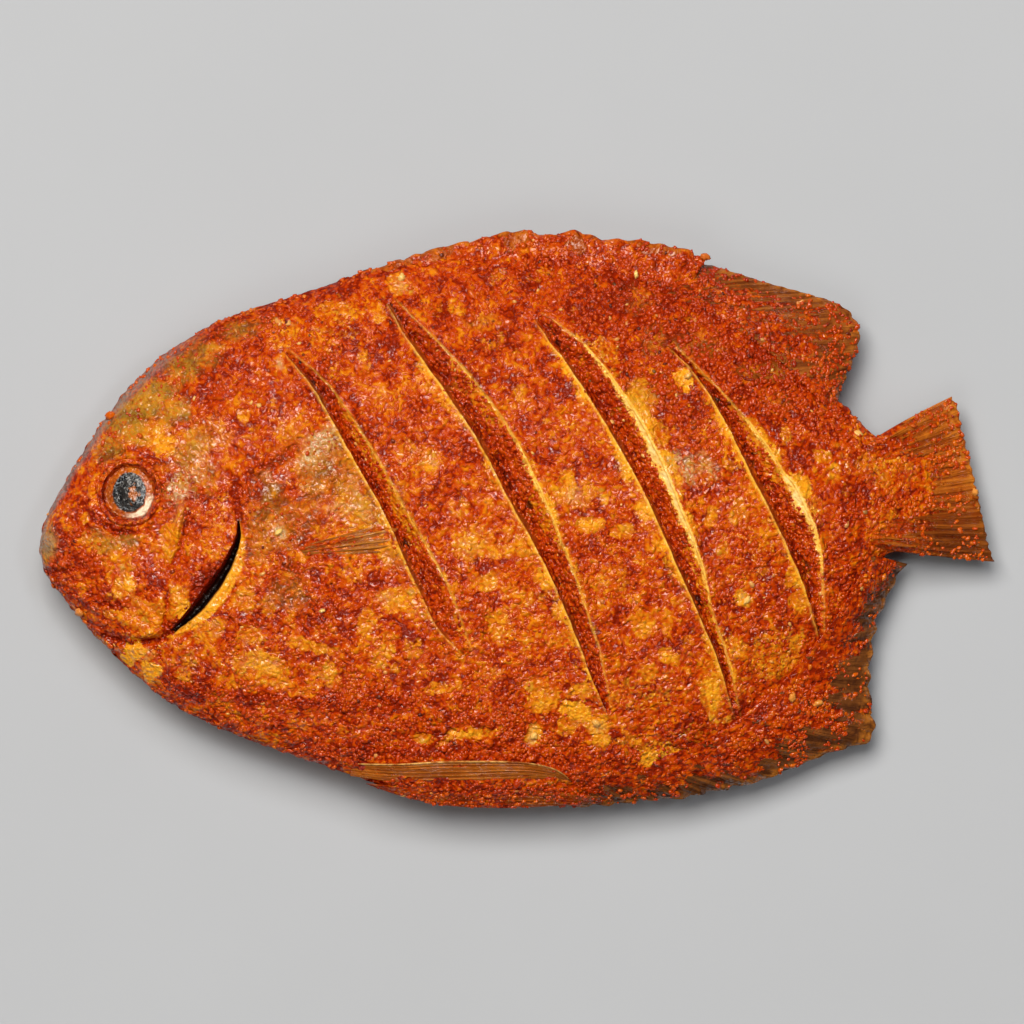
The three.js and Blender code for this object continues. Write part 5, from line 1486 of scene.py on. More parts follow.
class G:
    """Short hand for node graphs."""

    def __init__(self, nt):
        self.nt = nt

    def node(self, kind, **kw):
        n = self.nt.nodes.new(kind)
        for k, v in kw.items():
            setattr(n, k, v)
        return n

    def link(self, a, b):
        self.nt.links.new(a, b)

    def put(self, sock, v):
        if hasattr(v, "is_output"):
            self.link(v, sock)
        elif v is not None:
            sock.default_value = v

    def math(self, op, a, b=None, c=None, clamp=False):
        n = self.node("ShaderNodeMath", operation=op, use_clamp=clamp)
        for i, v in enumerate((a, b, c)):
            if v is not None:
                self.put(n.inputs[i], v)
        return n.outputs[0]

    def mix(self, f, a, b, blend="MIX"):
        n = self.node("ShaderNodeMix", data_type="RGBA", blend_type=blend, clamp_factor=True)
        self.put(n.inputs[0], f)
        self.put(n.inputs[6], a if hasattr(a, "is_output") else (*a, 1.0))
        self.put(n.inputs[7], b if hasattr(b, "is_output") else (*b, 1.0))
        return n.outputs[2]

    def noise(self, vec, scale, detail=3.0, rough=0.55, dist=0.0):
        n = self.node("ShaderNodeTexNoise", noise_dimensions="3D")
        self.put(n.inputs["Vector"], vec)
        n.inputs["Scale"].default_value = scale
        n.inputs["Detail"].default_value = detail
        n.inputs["Roughness"].default_value = rough
        n.inputs["Distortion"].default_value = dist
        return n.outputs["Fac"]

    def voronoi(self, vec, scale, feature="F1", rand=1.0):
        n = self.node("ShaderNodeTexVoronoi", feature=feature)
        self.put(n.inputs["Vector"], vec)
        n.inputs["Scale"].default_value = scale
        n.inputs["Randomness"].default_value = rand
        return n

    def ramp(self, f, stops):
        n = self.node("ShaderNodeValToRGB")
        el = n.color_ramp.elements
        while len(el) < len(stops):
            el.new(0.5)
        for e, (p, c) in zip(el, stops):
            e.position = p
            e.color = (*c, 1.0) if len(c) == 3 else c
        self.put(n.inputs[0], f)
        return n.outputs[0]

    def maprange(self, v, a, b, c, d, smooth=False):
        n = self.node("ShaderNodeMapRange")
        n.interpolation_type = "SMOOTHSTEP" if smooth else "LINEAR"
        n.clamp = True
        self.put(n.inputs[0], v)
        for i, q in enumerate((a, b, c, d)):
            n.inputs[i + 1].default_value = q
        return n.outputs[0]

    def attr(self, name):
        n = self.node("ShaderNodeAttribute", attribute_name=name)
        s = self.node("ShaderNodeSeparateColor")
        self.link(n.outputs["Color"], s.inputs[0])
        return s.outputs[0], s.outputs[1], s.outputs[2]

    def bump(self, h, strength, dist, prev=None):
        n = self.node("ShaderNodeBump")
        n.inputs["Strength"].default_value = strength
        n.inputs["Distance"].default_value = dist
        self.put(n.inputs["Height"], h)
        if prev is not None:
            self.link(prev, n.inputs["Normal"])
        return n.outputs[0]

    def principled(self, **kw):
        n = self.node("ShaderNodeBsdfPrincipled")
        out = self.node("ShaderNodeOutputMaterial")
        self.link(n.outputs[0], out.inputs[0])
        for k, v in kw.items():
            self.put(n.inputs[k.replace("_", " ")], v)
        return n


MAROON = (0.210, 0.011, 0.001)
DEEP = (0.400, 0.028, 0.001)
BRICK = (0.470, 0.050, 0.0012)
ORANGE = (0.560, 0.098, 0.002)
AMBER = (0.650, 0.185, 0.004)
GOLD = (0.740, 0.310, 0.010)
OCHRE = (0.500, 0.225, 0.016)
OLIVE = (0.260, 0.140, 0.014)
PALE = (0.470, 0.330, 0.150)
FLESH = (0.900, 0.500, 0.080)
FLESH_HI = (0.950, 0.780, 0.360)
# grey of bare skin, also a painted reflection along the brow rim
BARE_SKIN_AND_SHEEN = (0.230, 0.180, 0.155)
PASTE = [(0.0, MAROON), (0.22, DEEP), (0.45, BRICK), (0.72, ORANGE), (1.0, AMBER)]


def object_mm(g):
    geo = g.node("ShaderNodeTexCoord")
    mm = g.node("ShaderNodeVectorMath", operation="SCALE")
    g.link(geo.outputs["Object"], mm.inputs[0])
    mm.inputs["Scale"].default_value = 1000.0
    return mm.outputs[0]


def split(g, colour):
    n = g.node("ShaderNodeSeparateColor")
    g.link(colour, n.inputs[0])
    return n.outputs[0], n.outputs[1], n.outputs[2]


def bent(g, pos, scale, amount):
    """The position pushed about by noise, so that cells come out uneven."""
    n = g.node("ShaderNodeTexNoise", noise_dimensions="3D")
    g.link(pos, n.inputs["Vector"])
    n.inputs["Scale"].default_value = scale
    n.inputs["Detail"].default_value = 2.0
    v = g.node("ShaderNodeVectorMath", operation="SUBTRACT")
    g.link(n.outputs["Color"], v.inputs[0])
    v.inputs[1].default_value = (0.5, 0.5, 0.5)
    m = g.node("ShaderNodeVectorMath", operation="SCALE")
    g.link(v.outputs[0], m.inputs[0])
    m.inputs["Scale"].default_value = amount
    a = g.node("ShaderNodeVectorMath", operation="ADD")
    g.link(pos, a.inputs[0])
    g.link(m.outputs[0], a.inputs[1])
    return a.outputs[0]


def relief_nodes(g, pos):
    """Height of the wet paste, height of the oil film on it, and painted shade: how deep in a crease a point is."""
    warped = bent(g, pos, 1.1, 0.9)
    v1 = g.voronoi(warped, 1.10)
    n1 = g.noise(bent(g, pos, 0.55, 1.1), 0.57, 1.0, 0.5, 0.3)
    d1 = g.math("SUBTRACT", n1, 0.5)
    clump = g.math("ABSOLUTE", d1)
    fold = g.noise(warped, 1.00, 0.5, 0.5, 0.3)
    q1 = g.math("MULTIPLY", v1.outputs["Distance"], v1.outputs["Distance"])
    hgt = g.math("ADD", g.math("MULTIPLY", clump, 1.10), g.math("MULTIPLY", fold, 0.48))
    hgt = g.math("ADD", hgt, g.math("MULTIPLY", q1, -0.16))
    # painted shade: low places of the relief are marked for darkening
    crease_shade = g.maprange(hgt, 0.20, 0.36, 1.0, 0.0, True)
    soft = g.math("SQRT", g.math("ADD", g.math("MULTIPLY", d1, d1), 0.0009))
    film = g.math("ADD", g.math("MULTIPLY", soft, 1.15), g.math("MULTIPLY", fold, 0.42))
    n5 = g.noise(bent(g, pos, 0.8, 0.8), 0.70, 1.0, 0.5, 0.6)
    worm = g.maprange(g.math("ABSOLUTE", g.math("SUBTRACT", n5, 0.5)), 0.040, 0.095, 1.0, 0.0, True)
    return hgt, film, crease_shade, v1, warped, worm


def film_normal(g, height, distance, share):
    """Bump of the oil film over a calmer normal than the gritty mesh has."""
    at = g.node("ShaderNodeAttribute", attribute_name="nS")
    vt = g.node("ShaderNodeVectorTransform", vector_type="NORMAL", convert_from="OBJECT", convert_to="WORLD")
    g.link(at.outputs["Vector"], vt.inputs[0])
    geo = g.node("ShaderNodeNewGeometry")
    a = g.node("ShaderNodeVectorMath", operation="SCALE")
    g.link(vt.outputs[0], a.inputs[0])
    a.inputs["Scale"].default_value = 1 - share
    b = g.node("ShaderNodeVectorMath", operation="SCALE")
    g.link(geo.outputs["Normal"], b.inputs[0])
    b.inputs["Scale"].default_value = share
    c = g.node("ShaderNodeVectorMath", operation="ADD")
    g.link(a.outputs[0], c.inputs[0])
    g.link(b.outputs[0], c.inputs[1])
    n = g.node("ShaderNodeVectorMath", operation="NORMALIZE")
    g.link(c.outputs[0], n.inputs[0])
    bump = g.node("ShaderNodeBump")
    bump.inputs["Strength"].default_value = 1.0
    bump.inputs["Distance"].default_value = distance
    g.link(height, bump.inputs["Height"])
    g.link(n.outputs[0], bump.inputs["Normal"])
    return bump.outputs[0]


def coat_nodes(g):
    """Colour, roughness and normal of the spice coat, from the piece's fields and fine noise."""
    pos = object_mm(g)
    flesh, amber, dark = g.attr("mA")
    olive, pale, grit = g.attr("mB")
    bare_and_sheen, bright, cut = g.attr("mC")
    lip, wall, gill = g.attr("mD")

    n_big = g.noise(pos, 0.14, 3.0, 0.6)
    n_mid = g.noise(pos, 0.28, 4.0, 0.56, 0.9)
    n_fine = g.noise(pos, 1.9, 3.0, 0.6, 0.3)
    # relief of the wet paste: creased clumps, each wide enough to hold one glint
    hgt, film, crease_shade, v1, warped, worm = relief_nodes(g, pos)
    v2 = g.voronoi(warped, 2.05)
    a1, a2, a3 = split(g, v1.outputs["Color"])
    b1, b2, b3 = split(g, v2.outputs["Color"])
    smooth_part = g.math("ADD", g.math("MULTIPLY", wall, 0.7), g.math("ADD", flesh, lip, clamp=True), clamp=True)
    relief = g.math("MULTIPLY", g.maprange(grit, 0.0, 0.8, 0.55, 1.0), g.maprange(smooth_part, 0.0, 1.0, 1.0, 0.35))
    nrm = g.bump(g.math("MULTIPLY", hgt, relief), 1.0, 0.00140)
    cnrm = film_normal(g, g.math("MULTIPLY", film, relief), 0.00155, 0.20)

    # tone of the paste: 0 maroon .. 1 amber
    parts = [g.maprange(n_mid, 0.30, 0.70, -0.44, 0.41), g.maprange(a1, 0, 1, -0.12, 0.12),
             g.maprange(b2, 0, 1, -0.09, 0.09), g.maprange(n_big, 0.35, 0.65, -0.24, 0.24),
             g.maprange(n_fine, 0.3, 0.7, -0.07, 0.07)]
    tone = g.math("MULTIPLY_ADD", dark, -0.50, 0.66)
    for q in parts:
        tone = g.math("ADD", tone, q)
    n_cut = g.noise(pos, 0.28, 2.0, 0.5, 0.4)
    tone = g.math("SUBTRACT", tone, g.math("MULTIPLY", cut, g.maprange(n_cut, 0.35, 0.65, -0.14, 0.38, True)))
    # painted shade: the paste is darker in the creases
    tone = g.math("SUBTRACT", tone, g.math("MULTIPLY", crease_shade, 0.42), clamp=True)
    col = g.ramp(tone, PASTE)
    # near black where the dark field runs highest: dark paste, and painted shade in cut valleys, creases, the nostril
    # and the gill
    black_paste_and_shade = g.maprange(dark, 0.95, 1.60, 0.0, 0.92, True)

    # skin showing through where the coat is thin, broken up by the grains
    hide = g.math("ADD", g.math("MULTIPLY", b1, 0.35), g.math("MULTIPLY", n_mid, 0.75))
    am = g.math("SUBTRACT", g.math("MULTIPLY", amber, 1.25), hide)
    am = g.maprange(am, -0.16, 0.24, 0.0, 1.0, True)
    amcol = g.mix(g.maprange(n_fine, 0.33, 0.66, 0.0, 1.0), AMBER, GOLD)
    sc_pos = bent(g, pos, 0.7, 1.2)
    scales = g.voronoi(sc_pos, 0.42)
    c1, c2_, c3 = split(g, scales.outputs["Color"])
    amcol = g.mix(g.math("MULTIPLY", g.maprange(scales.outputs["Distance"], 0.20, 0.50, 1.0, 0.0, True),
                         g.maprange(c1, 0.35, 0.8, 0.0, 0.85)), amcol, OCHRE)
    seam = g.voronoi(sc_pos, 0.42, "DISTANCE_TO_EDGE")
    amcol = g.mix(g.math("MULTIPLY", g.maprange(seam.outputs["Distance"], 0.02, 0.16, 0.85, 0.0, True),
                         g.maprange(n_mid, 0.40, 0.60, 0.3, 1.0)), amcol, ORANGE)
    # painted shade: amber skin turns brick in the creases
    amcol = g.mix(g.math("MULTIPLY", crease_shade, 0.60), amcol, BRICK)
    col = g.mix(am, col, amcol)
    br = g.math("SUBTRACT", g.math("MULTIPLY", bright, 1.50), g.math("MULTIPLY", hide, 1.15))
    br = g.maprange(br, -0.15, 0.50, 0.0, 1.0, True)
    col = g.mix(br, col, g.mix(g.maprange(n_fine, 0.33, 0.66, 0.0, 1.0), (0.700, 0.190, 0.004), (0.860, 0.400, 0.018)))
    ol = g.math("MULTIPLY", olive, g.maprange(g.math("ADD", n_fine, g.math("MULTIPLY", b1, 0.4)), 0.42, 0.85, 0.25, 1.15),
                clamp=True)
    col = g.mix(g.math("MULTIPLY", ol, 0.9), col, g.mix(g.maprange(n_mid, 0.4, 0.6, 0.0, 1.0), OLIVE, OCHRE))
    # pale scales, and glare on wet skin painted as a pale colour
    pa = g.math("MULTIPLY", pale, g.maprange(g.math("ADD", n_fine, g.math("MULTIPLY", b3, 0.45)), 0.50, 0.85, 0.0, 1.0),
                clamp=True)
    col = g.mix(g.math("MULTIPLY", pa, 0.88), col, g.mix(g.maprange(n_mid, 0.42, 0.58, 0.0, 1.0), OCHRE, PALE))
    # the cut's bare wall painted dark as shade, its pale face and the bright edges of the skin
    col = g.mix(g.math("MULTIPLY", wall, 0.85), col, g.mix(n_mid, (0.20, 0.022, 0.003), (0.42, 0.085, 0.008)))
    streak = g.maprange(g.noise(pos, 0.9, 3.0, 0.6), 0.35, 0.65, 0.0, 1.0)
    thickf = g.maprange(flesh, 0.55, 0.95, 0.0, 1.0)
    meat = g.mix(g.maprange(n_fine, 0.50, 0.66, 0.0, 0.75), FLESH, (0.760, 0.270, 0.020))
    frag = g.math("SUBTRACT", flesh, g.math("MULTIPLY", g.maprange(n_fine, 0.46, 0.62, 0.0, 0.42), g.maprange(b2, 0, 1, 0.4, 1.2)))
    col = g.mix(g.maprange(frag, 0.06, 0.46, 0.0, 1.0, True), col,
                g.mix(g.math("MULTIPLY", thickf, g.maprange(streak, 0.0, 1.0, 0.15, 1.0)), meat, FLESH_HI))
    col = g.mix(g.math("MULTIPLY", lip, 0.95), col, g.mix(streak, GOLD, (0.95, 0.58, 0.10)))
    # bare skin at the snout and brow rim, the rim's grey partly a painted reflection
    col = g.mix(g.math("MULTIPLY", bare_and_sheen, g.maprange(n_fine, 0.35, 0.6, 0.25, 1.0)), col, BARE_SKIN_AND_SHEEN)
    # painted shade: the darkest places are painted near black
    col = g.mix(black_paste_and_shade, col, (0.050, 0.007, 0.002))
    # painted shade: the deep middle of the gill slit is near black
    col = g.mix(gill, col, (0.010, 0.004, 0.003))
    # dark specks
    spk = g.maprange(g.voronoi(pos, 0.40).outputs["Distance"], 0.10, 0.17, 1.0, 0.0)
    spk = g.math("MULTIPLY", spk, g.maprange(n_big, 0.48, 0.58, 0.0, 0.9))
    col = g.mix(g.math("MULTIPLY", spk, grit), col, (0.040, 0.012, 0.006))
    wet = g.maprange(g.noise(pos, 0.22, 3.0, 0.6), 0.38, 0.62, 0.34, 1.0, True)
    wet = g.math("MULTIPLY", wet, g.maprange(dark, 0.0, 0.9, 1.0, 0.65, True))
    sx = g.node("ShaderNodeSeparateXYZ")
    g.link(pos, sx.inputs[0])
    wet = g.math("MULTIPLY", wet, g.maprange(sx.outputs[0], -60.0, 10.0, 1.0, 0.82, True))
    wet = g.math("MULTIPLY", wet, g.maprange(sx.outputs[1], 12.0, 42.0, 1.0, 0.55, True))
    wet = g.math("ADD", wet, g.math("MULTIPLY", cut, 0.45), clamp=True)
    wet = g.math("ADD", wet, g.math("MULTIPLY", pale, 0.35), clamp=True)
    worm = g.math("MAXIMUM", worm, g.math("MULTIPLY", pale, 0.55))
    wet = g.math("MULTIPLY", wet, g.maprange(worm, 0.0, 1.0, 0.17, 1.0))
    return dict(col=col, nrm=nrm, cnrm=cnrm, pos=pos, grit=grit, n_fine=n_fine, n_mid=n_mid, wet=wet,
                rough=g.maprange(n_fine, 0.35, 0.7, 0.26, 0.46))


def coat_material():
    m, nt = tree("spice_coat")
    g = G(nt)
    c = coat_nodes(g)
    g.principled(Base_Color=c["col"], Roughness=c["rough"], Normal=c["nrm"], IOR=1.42,
                 Specular_IOR_Level=0.0, Coat_Weight=c["wet"], Coat_Roughness=0.06, Coat_IOR=1.62, Coat_Normal=c["cnrm"])
    return m


def eye_material():
    m, nt = tree("eye")
    g = G(nt)
    c = coat_nodes(g)
    rad, ca, sa = g.attr("eA")
    pos = c["pos"]
    n1 = g.noise(pos, 0.85, 3.0, 0.6)
    n2 = g.noise(pos, 1.30, 3.0, 0.6, 0.6)
    n3 = g.noise(pos, 0.70, 2.0, 0.5, 0.4)
    r = g.math("ADD", rad, g.math("MULTIPLY", g.math("SUBTRACT", n1, 0.5), 0.16))
    iris = g.mix(g.maprange(c["n_fine"], 0.35, 0.65, 0.0, 1.0), (0.280, 0.050, 0.004), (0.580, 0.180, 0.018))
    side = g.math("ADD", g.math("MULTIPLY", ca, 0.62), g.math("MULTIPLY", g.math("SUBTRACT", 1.0, sa), 0.78))
    cres = g.math("MULTIPLY", g.maprange(side, 0.98, 1.20, 0.0, 1.0, True),
                  g.math("MULTIPLY", g.maprange(r, 0.62, 0.68, 0.0, 1.0, True), g.maprange(r, 0.80, 0.87, 1.0, 0.0, True)))
    cres = g.math("MULTIPLY", cres, g.maprange(n2, 0.32, 0.48, 0.35, 1.0))
    iris = g.mix(0.50, iris, g.mix(0.22, c["col"], (0.060, 0.010, 0.002)))
    iris = g.mix(cres, iris, (0.86, 0.74, 0.54))
    # clouded pupil with flecks of paste on it; round its rim a pale bluish net of painted glints
    pupil = g.mix(g.maprange(n2, 0.42, 0.66, 0.0, 1.0), (0.004, 0.004, 0.005), (0.036, 0.032, 0.030))
    # painted glints: a pale bluish net round the pupil's rim
    n4 = g.noise(pos, 1.50, 1.0, 0.5, 0.8)
    net = g.maprange(g.math("ABSOLUTE", g.math("SUBTRACT", n4, 0.5)), 0.012, 0.042, 1.0, 0.0, True)
    painted_glint_net = g.math("MULTIPLY", net,
                   g.math("MULTIPLY", g.maprange(r, 0.38, 0.50, 0.0, 1.0, True), g.maprange(r, 0.56, 0.63, 1.0, 0.0, True)))
    painted_glint_net = g.math("MULTIPLY", painted_glint_net, g.maprange(g.math("ADD", n1, g.math("MULTIPLY_ADD", sa, 0.20, -0.10)), 0.42, 0.56, 0.15, 1.0, True))
    pupil = g.mix(g.math("MULTIPLY", painted_glint_net, 0.70), pupil, (0.40, 0.45, 0.52))
    ex = g.math("MULTIPLY", r, g.math("MULTIPLY_ADD", ca, 12.0, -6.0))
    ey = g.math("MULTIPLY", r, g.math("MULTIPLY_ADD", sa, 12.0, -6.0))
    off = g.math("ADD", g.math("ABSOLUTE", g.math("SUBTRACT", ex, 0.85)), g.math("MULTIPLY", g.math("ABSOLUTE", g.math("ADD", ey, 0.35)), 0.75))
    off = g.math("ADD", off, g.math("MULTIPLY", g.math("SUBTRACT", n3, 0.5), 3.2))
    off = g.math("ADD", off, g.math("MULTIPLY", g.math("SUBTRACT", c["n_fine"], 0.5), 2.2))
    fleck = g.maprange(off, 0.8, 1.5, 1.0, 0.0, True)
    pupil = g.mix(g.math("MULTIPLY", fleck, 0.9), pupil, (0.360, 0.090, 0.010))
    inner = g.mix(g.maprange(r, 0.57, 0.64, 0.0, 1.0, True), pupil, iris)
    col = g.mix(g.maprange(g.math("ADD", r, g.math("MULTIPLY", g.math("SUBTRACT", n2, 0.5), 0.25)), 0.78, 0.88, 0.0, 1.0, True),
                inner, c["col"])
    wrinkle = g.math("ADD", g.noise(pos, 0.95, 2.0, 0.55, 0.5), g.math("MULTIPLY", g.noise(pos, 0.45, 1.0, 0.5), 0.8))
    fine = g.bump(wrinkle, 1.0, 0.00048)
    nrm = g.node("ShaderNodeMix", data_type="VECTOR")
    g.link(g.maprange(r, 0.60, 0.80, 0.0, 1.0, True), nrm.inputs[0])
    g.link(fine, nrm.inputs[4])
    g.link(c["nrm"], nrm.inputs[5])
    g.principled(Base_Color=col, Roughness=0.35, Normal=nrm.outputs[1], IOR=1.42, Specular_IOR_Level=0.0,
                 Coat_Weight=0.85, Coat_Roughness=0.07, Coat_IOR=1.50, Coat_Normal=nrm.outputs[1])
    return m


def fin_material(name, base_lo, base_hi, coat_amt, dark_amt, fade=0.0, root_paste=0.8, tip_amt=0.3,
                 tips=((0.52, 0.11, 0.006), (0.74, 0.30, 0.03))):
    m, nt = tree(name)
    g = G(nt)
    pos = object_mm(g)
    at = g.node("ShaderNodeAttribute", attribute_name="fuv")
    st = g.node("ShaderNodeVectorMath", operation="MULTIPLY")
    g.link(at.outputs["Vector"], st.inputs[0])
    st.inputs[1].default_value = (3.2, 0.075, 1.0)
    streak = g.noise(st.outputs[0], 1.0, 2.0, 0.55)
    st2 = g.node("ShaderNodeVectorMath", operation="MULTIPLY")
    g.link(at.outputs["Vector"], st2.inputs[0])
    st2.inputs[1].default_value = (6.0, 0.20, 1.0)
    streak2 = g.noise(st2.outputs[0], 1.0, 3.0, 0.6)
    cov, tip, ray = g.attr("fA")
    cr, tt, ss = g.attr("fB")
    n_big = g.noise(pos, 0.16, 3.0, 0.6)
    n_mid = g.noise(pos, 0.42, 4.0, 0.6, 0.8)
    n_fine = g.noise(pos, 1.9, 3.0, 0.6, 0.3)
    hgt, film, crease_shade, v1, warped, worm = relief_nodes(g, pos)
    a1, a2, a3 = split(g, v1.outputs["Color"])
    f = g.math("ADD", g.math("MULTIPLY", streak, 0.75), g.math("MULTIPLY", streak2, 0.38))
    f = g.math("ADD", f, g.maprange(ray, 0.0, 1.0, -0.06, 0.07))
    f = g.math("ADD", f, g.math("MULTIPLY", g.math("SUBTRACT", n_mid, 0.5), 0.5))
    web = g.mix(g.maprange(f, 0.47, 0.80, 0.0, 1.0), base_lo, base_hi)
    tone = g.math("ADD", g.maprange(n_mid, 0.30, 0.70, -0.40, 0.40), g.maprange(a1, 0, 1, -0.18, 0.18))
    tone = g.math("ADD", tone, g.maprange(n_fine, 0.3, 0.7, -0.12, 0.12))
    # painted shade: the paste on the fins is darker in the creases
    tone = g.math("ADD", tone, g.math("MULTIPLY", crease_shade, -0.34))
    tone = g.math("ADD", tone, 0.50 - dark_amt, clamp=True)
    paste = g.ramp(tone, PASTE)
    st3 = g.node("ShaderNodeVectorMath", operation="MULTIPLY")
    g.link(at.outputs["Vector"], st3.inputs[0])
    st3.inputs[1].default_value = (1.5, 0.17, 1.0)
    lay = g.noise(st3.outputs[0], 1.0, 3.0, 0.6)
    k = g.math("ADD", g.math("MULTIPLY", cov, coat_amt), g.math("MULTIPLY", g.math("SUBTRACT", n_fine, 0.5), 0.9))
    k = g.math("ADD", k, g.math("MULTIPLY", g.math("SUBTRACT", lay, 0.5), 2.4))
    k = g.math("ADD", k, g.math("MULTIPLY", g.math("SUBTRACT", n_mid, 0.5), 0.9))
    k = g.math("ADD", k, g.maprange(ss, 0.25, 0.95, root_paste, 0.0, True))
    k = g.maprange(k, 0.34, 0.58, 0.0, 0.95, True)
    col = g.mix(k, web, paste)
    tipc = g.mix(n_fine, tips[0], tips[1])
    col = g.mix(g.math("MULTIPLY", tip, g.maprange(n_mid, 0.40, 0.62, 0.0, tip_amt)), col, tipc)
    shade = g.math("MULTIPLY", g.maprange(g.math("ADD", tt, g.math("MULTIPLY", g.math("SUBTRACT", n_mid, 0.5), 0.5)), 0.45, 0.95, 0.0, fade, True),
                   g.maprange(ss, 0.25, 0.6, 0.3, 1.0, True))
    col = g.mix(shade, col, g.mix(g.maprange(f, 0.50, 0.76, 0.0, 1.0), (0.040, 0.010, 0.003), (0.220, 0.050, 0.008)))
    rays = g.math("ADD", g.math("MULTIPLY", streak, 0.55), g.math("MULTIPLY", streak2, 0.22))
    kk = g.math("SUBTRACT", 1.0, k)
    h1 = g.math("ADD", g.math("MULTIPLY", hgt, g.math("MULTIPLY_ADD", k, 0.8, 0.2)), g.math("MULTIPLY", rays, kk))
    h2 = g.math("ADD", g.math("MULTIPLY", film, g.math("MULTIPLY_ADD", k, 0.8, 0.2)), g.math("MULTIPLY", rays, kk))
    nrm = g.bump(h1, 1.0, 0.00110)
    cn = g.bump(h2, 1.0, 0.00085)
    rough = g.maprange(n_fine, 0.3, 0.7, 0.28, 0.52)
    wet = g.math("MULTIPLY", g.maprange(n_big, 0.40, 0.60, 0.30, 0.90, True), g.maprange(worm, 0.0, 1.0, 0.12, 1.0))
    g.principled(Base_Color=col, Roughness=rough, Normal=nrm, IOR=1.42, Specular_IOR_Level=0.0, Coat_Weight=wet,
                 Coat_Roughness=0.08, Coat_IOR=1.58, Coat_Normal=cn)
    return m


def grain_material():
    m, nt = tree("grains")
    g = G(nt)
    tone, pale, dk = g.attr("gA")
    geo = g.node("ShaderNodeTexCoord")
    mm = g.node("ShaderNodeVectorMath", operation="SCALE")
    g.link(geo.outputs["Object"], mm.inputs[0])
    mm.inputs["Scale"].default_value = 1000.0
    n = g.noise(mm.outputs[0], 2.4, 3.0, 0.6)
    t = g.math("ADD", tone, g.math("MULTIPLY", g.math("SUBTRACT", n, 0.5), 0.35), clamp=True)
    col = g.ramp(t, [(0.0, MAROON), (0.25, DEEP), (0.5, BRICK), (0.78, ORANGE), (1.0, AMBER)])
    col = g.mix(pale, col, (0.82, 0.52, 0.14))
    col = g.mix(g.math("MULTIPLY", dk, 0.9), col, (0.055, 0.008, 0.004))
    nrm = g.bump(g.noise(mm.outputs[0], 2.4, 0.0, 0.5), 0.8, 0.00012)
    g.principled(Base_Color=col, Roughness=0.30, Normal=nrm, IOR=1.42, Specular_IOR_Level=0.0, Coat_Weight=0.60,
                 Coat_Roughness=0.06, Coat_IOR=1.58)
    return m


COAT = coat_material()
EYE_M = eye_material()
FIN_BROWN = fin_material("fin_brown", (0.150, 0.032, 0.006), (0.430, 0.125, 0.018), 0.55, 0.06, 0.0, 0.60, 0.5)
FIN_ANAL = fin_material("fin_anal_mat", (0.070, 0.020, 0.006), (0.240, 0.076, 0.016), 0.42, 0.08, 0.0, 0.75, 0.8)
FIN_TAIL = fin_material("fin_tail_mat", (0.250, 0.044, 0.004), (0.540, 0.150, 0.012), 0.60, 0.03, 0.80, 0.50, 0.9)
FIN_SPINY = fin_material("fin_spiny", (0.280, 0.042, 0.003), (0.480, 0.110, 0.007), 1.55, -0.04, 0.0, 0.9, 0.5)
FIN_PELV = fin_material("fin_pelvic", (0.350, 0.070, 0.006), (0.640, 0.195, 0.020), 0.30, 0.0, 0.0, 0.12, 1.6,
                        ((0.78, 0.36, 0.06), (0.92, 0.58, 0.20)))
FIN_PEC = fin_material("fin_pectoral_mat", (0.260, 0.062, 0.007), (0.580, 0.215, 0.026), 0.60, 0.02, 0.0, 0.35, 0.6)
GRAIN = grain_material()


def dress(ob, mat):
    ob.data.materials.append(mat)
    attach(ob, "root")


for ob, _, _ in (body, body_rear, *cuts, gill):
    dress(ob, COAT)
dress(eye[0], EYE_M)
dress(fin_a[0], FIN_SPINY)
dress(fin_b[0], FIN_BROWN)
dress(fin_c[0], FIN_ANAL)
dress(fin_d[0], FIN_TAIL)
dress(fin_e[0], FIN_PEC)
dress(fin_f[0], FIN_PELV)
dress(fin_g[0], FIN_SPINY)
for ob in (g_fine, g_mid, g_big, g_fin, singles):
    dress(ob, GRAIN)
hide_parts("fish")

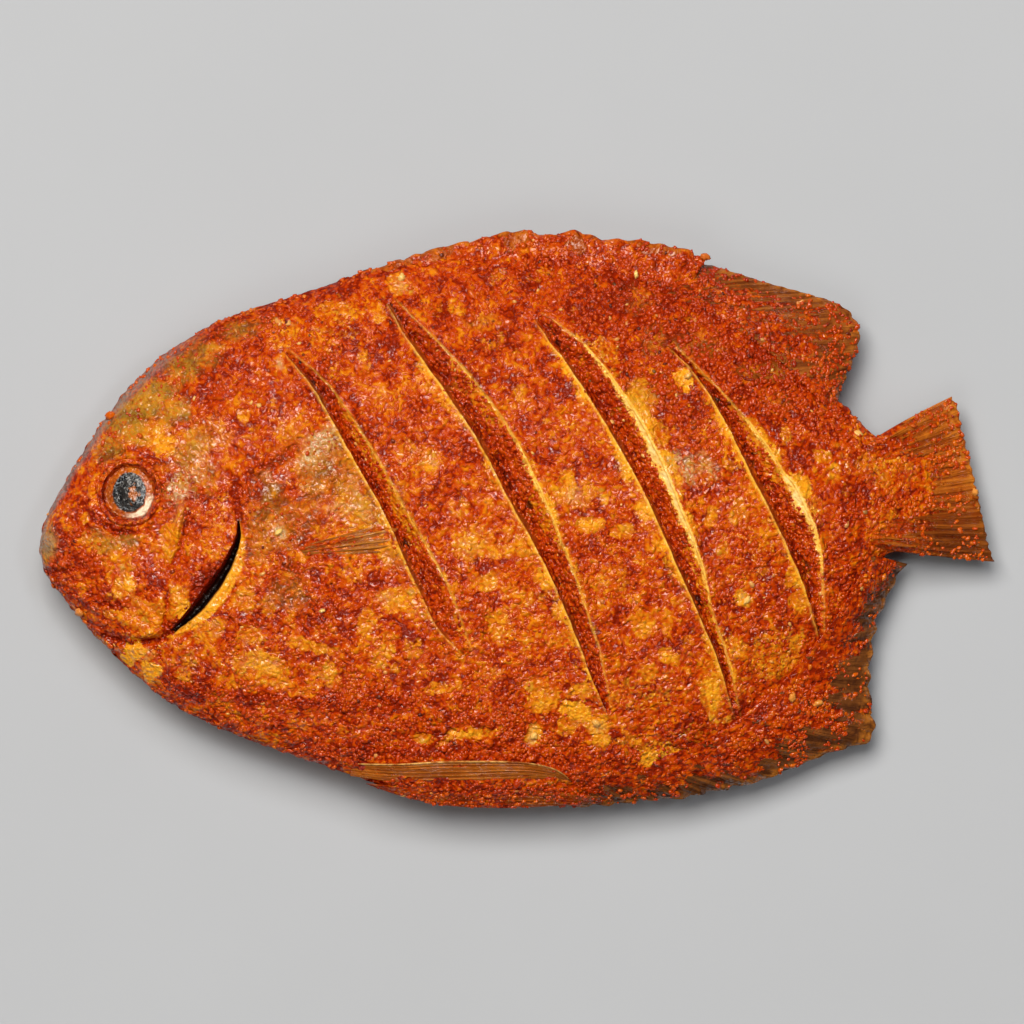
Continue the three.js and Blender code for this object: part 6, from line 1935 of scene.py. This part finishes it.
# ---------------------------------------------------------------------------
# Floor, light and camera
# ---------------------------------------------------------------------------
me = bpy.data.meshes.new("floor")
me.from_pydata([(-3, -3, 0), (3, -3, 0), (3, 3, 0), (-3, 3, 0)], [], [(0, 1, 2, 3)])
floor = bpy.data.objects.new("floor", me)
bpy.context.scene.collection.objects.link(floor)
fm, fnt = tree("floor")
gf = G(fnt)
tc = gf.node("ShaderNodeTexCoord")
fn = gf.noise(tc.outputs["Object"], 9.0, 4.0, 0.6)
fc = gf.mix(gf.maprange(fn, 0.3, 0.7, 0.0, 1.0), (0.404, 0.426, 0.468), (0.418, 0.441, 0.485))
gf.principled(Base_Color=fc, Roughness=0.75, Specular_IOR_Level=0.2)
floor.data.materials.append(fm)

w = bpy.data.worlds.new("studio")
bpy.context.scene.world = w
w.use_nodes = True
w.node_tree.nodes["Background"].inputs[0].default_value = (1.0, 1.0, 1.0, 1.0)
w.node_tree.nodes["Background"].inputs[1].default_value = 0.05


def area(name, loc, size, power, target=(0, 0, 0.01), color=(1, 1, 1), size_y=None):
    l = bpy.data.lights.new(name, "AREA")
    l.energy = power
    l.size = size
    l.color = color
    if size_y:
        l.shape = "RECTANGLE"
        l.size_y = size_y
    o = bpy.data.objects.new(name, l)
    o.location = loc
    o.rotation_euler = (Vector(target) - Vector(loc)).to_track_quat("-Z", "Y").to_euler()
    bpy.context.scene.collection.objects.link(o)
    return o


# softboxes above the back and the head
for k, (lx, ly, lz, size, watt) in enumerate([
        (-0.50, 1.06, 2.36, 1.50, 89.0), (0.45, 1.45, 2.10, 0.40, 5.0), (-0.60, -1.05, 2.20, 1.50, 10.0),
        (0.95, 0.30, 2.40, 0.40, 6.0)]):
    area("softbox_%d" % k, (lx, ly, lz), size, watt, color=(1.0, 0.94, 0.84) if k in (0, 2) else (1, 1, 1))

cam = bpy.data.cameras.new("cam")
cam.lens = 400
cam.sensor_width = 36
cam.clip_start, cam.clip_end = 0.01, 20
co = bpy.data.objects.new("cam", cam)
MID = 0.012
co.location = (float(gx(512)) * 0.001, (float(gy(512)) + CENTRE_Y) * 0.001, MID + 1024 * SCALE * 0.001 * 400 / 36)
co.rotation_euler = (0, 0, 0)
bpy.context.scene.collection.objects.link(co)
bpy.context.scene.camera = co
bpy.context.scene.view_settings.view_transform = "Standard"
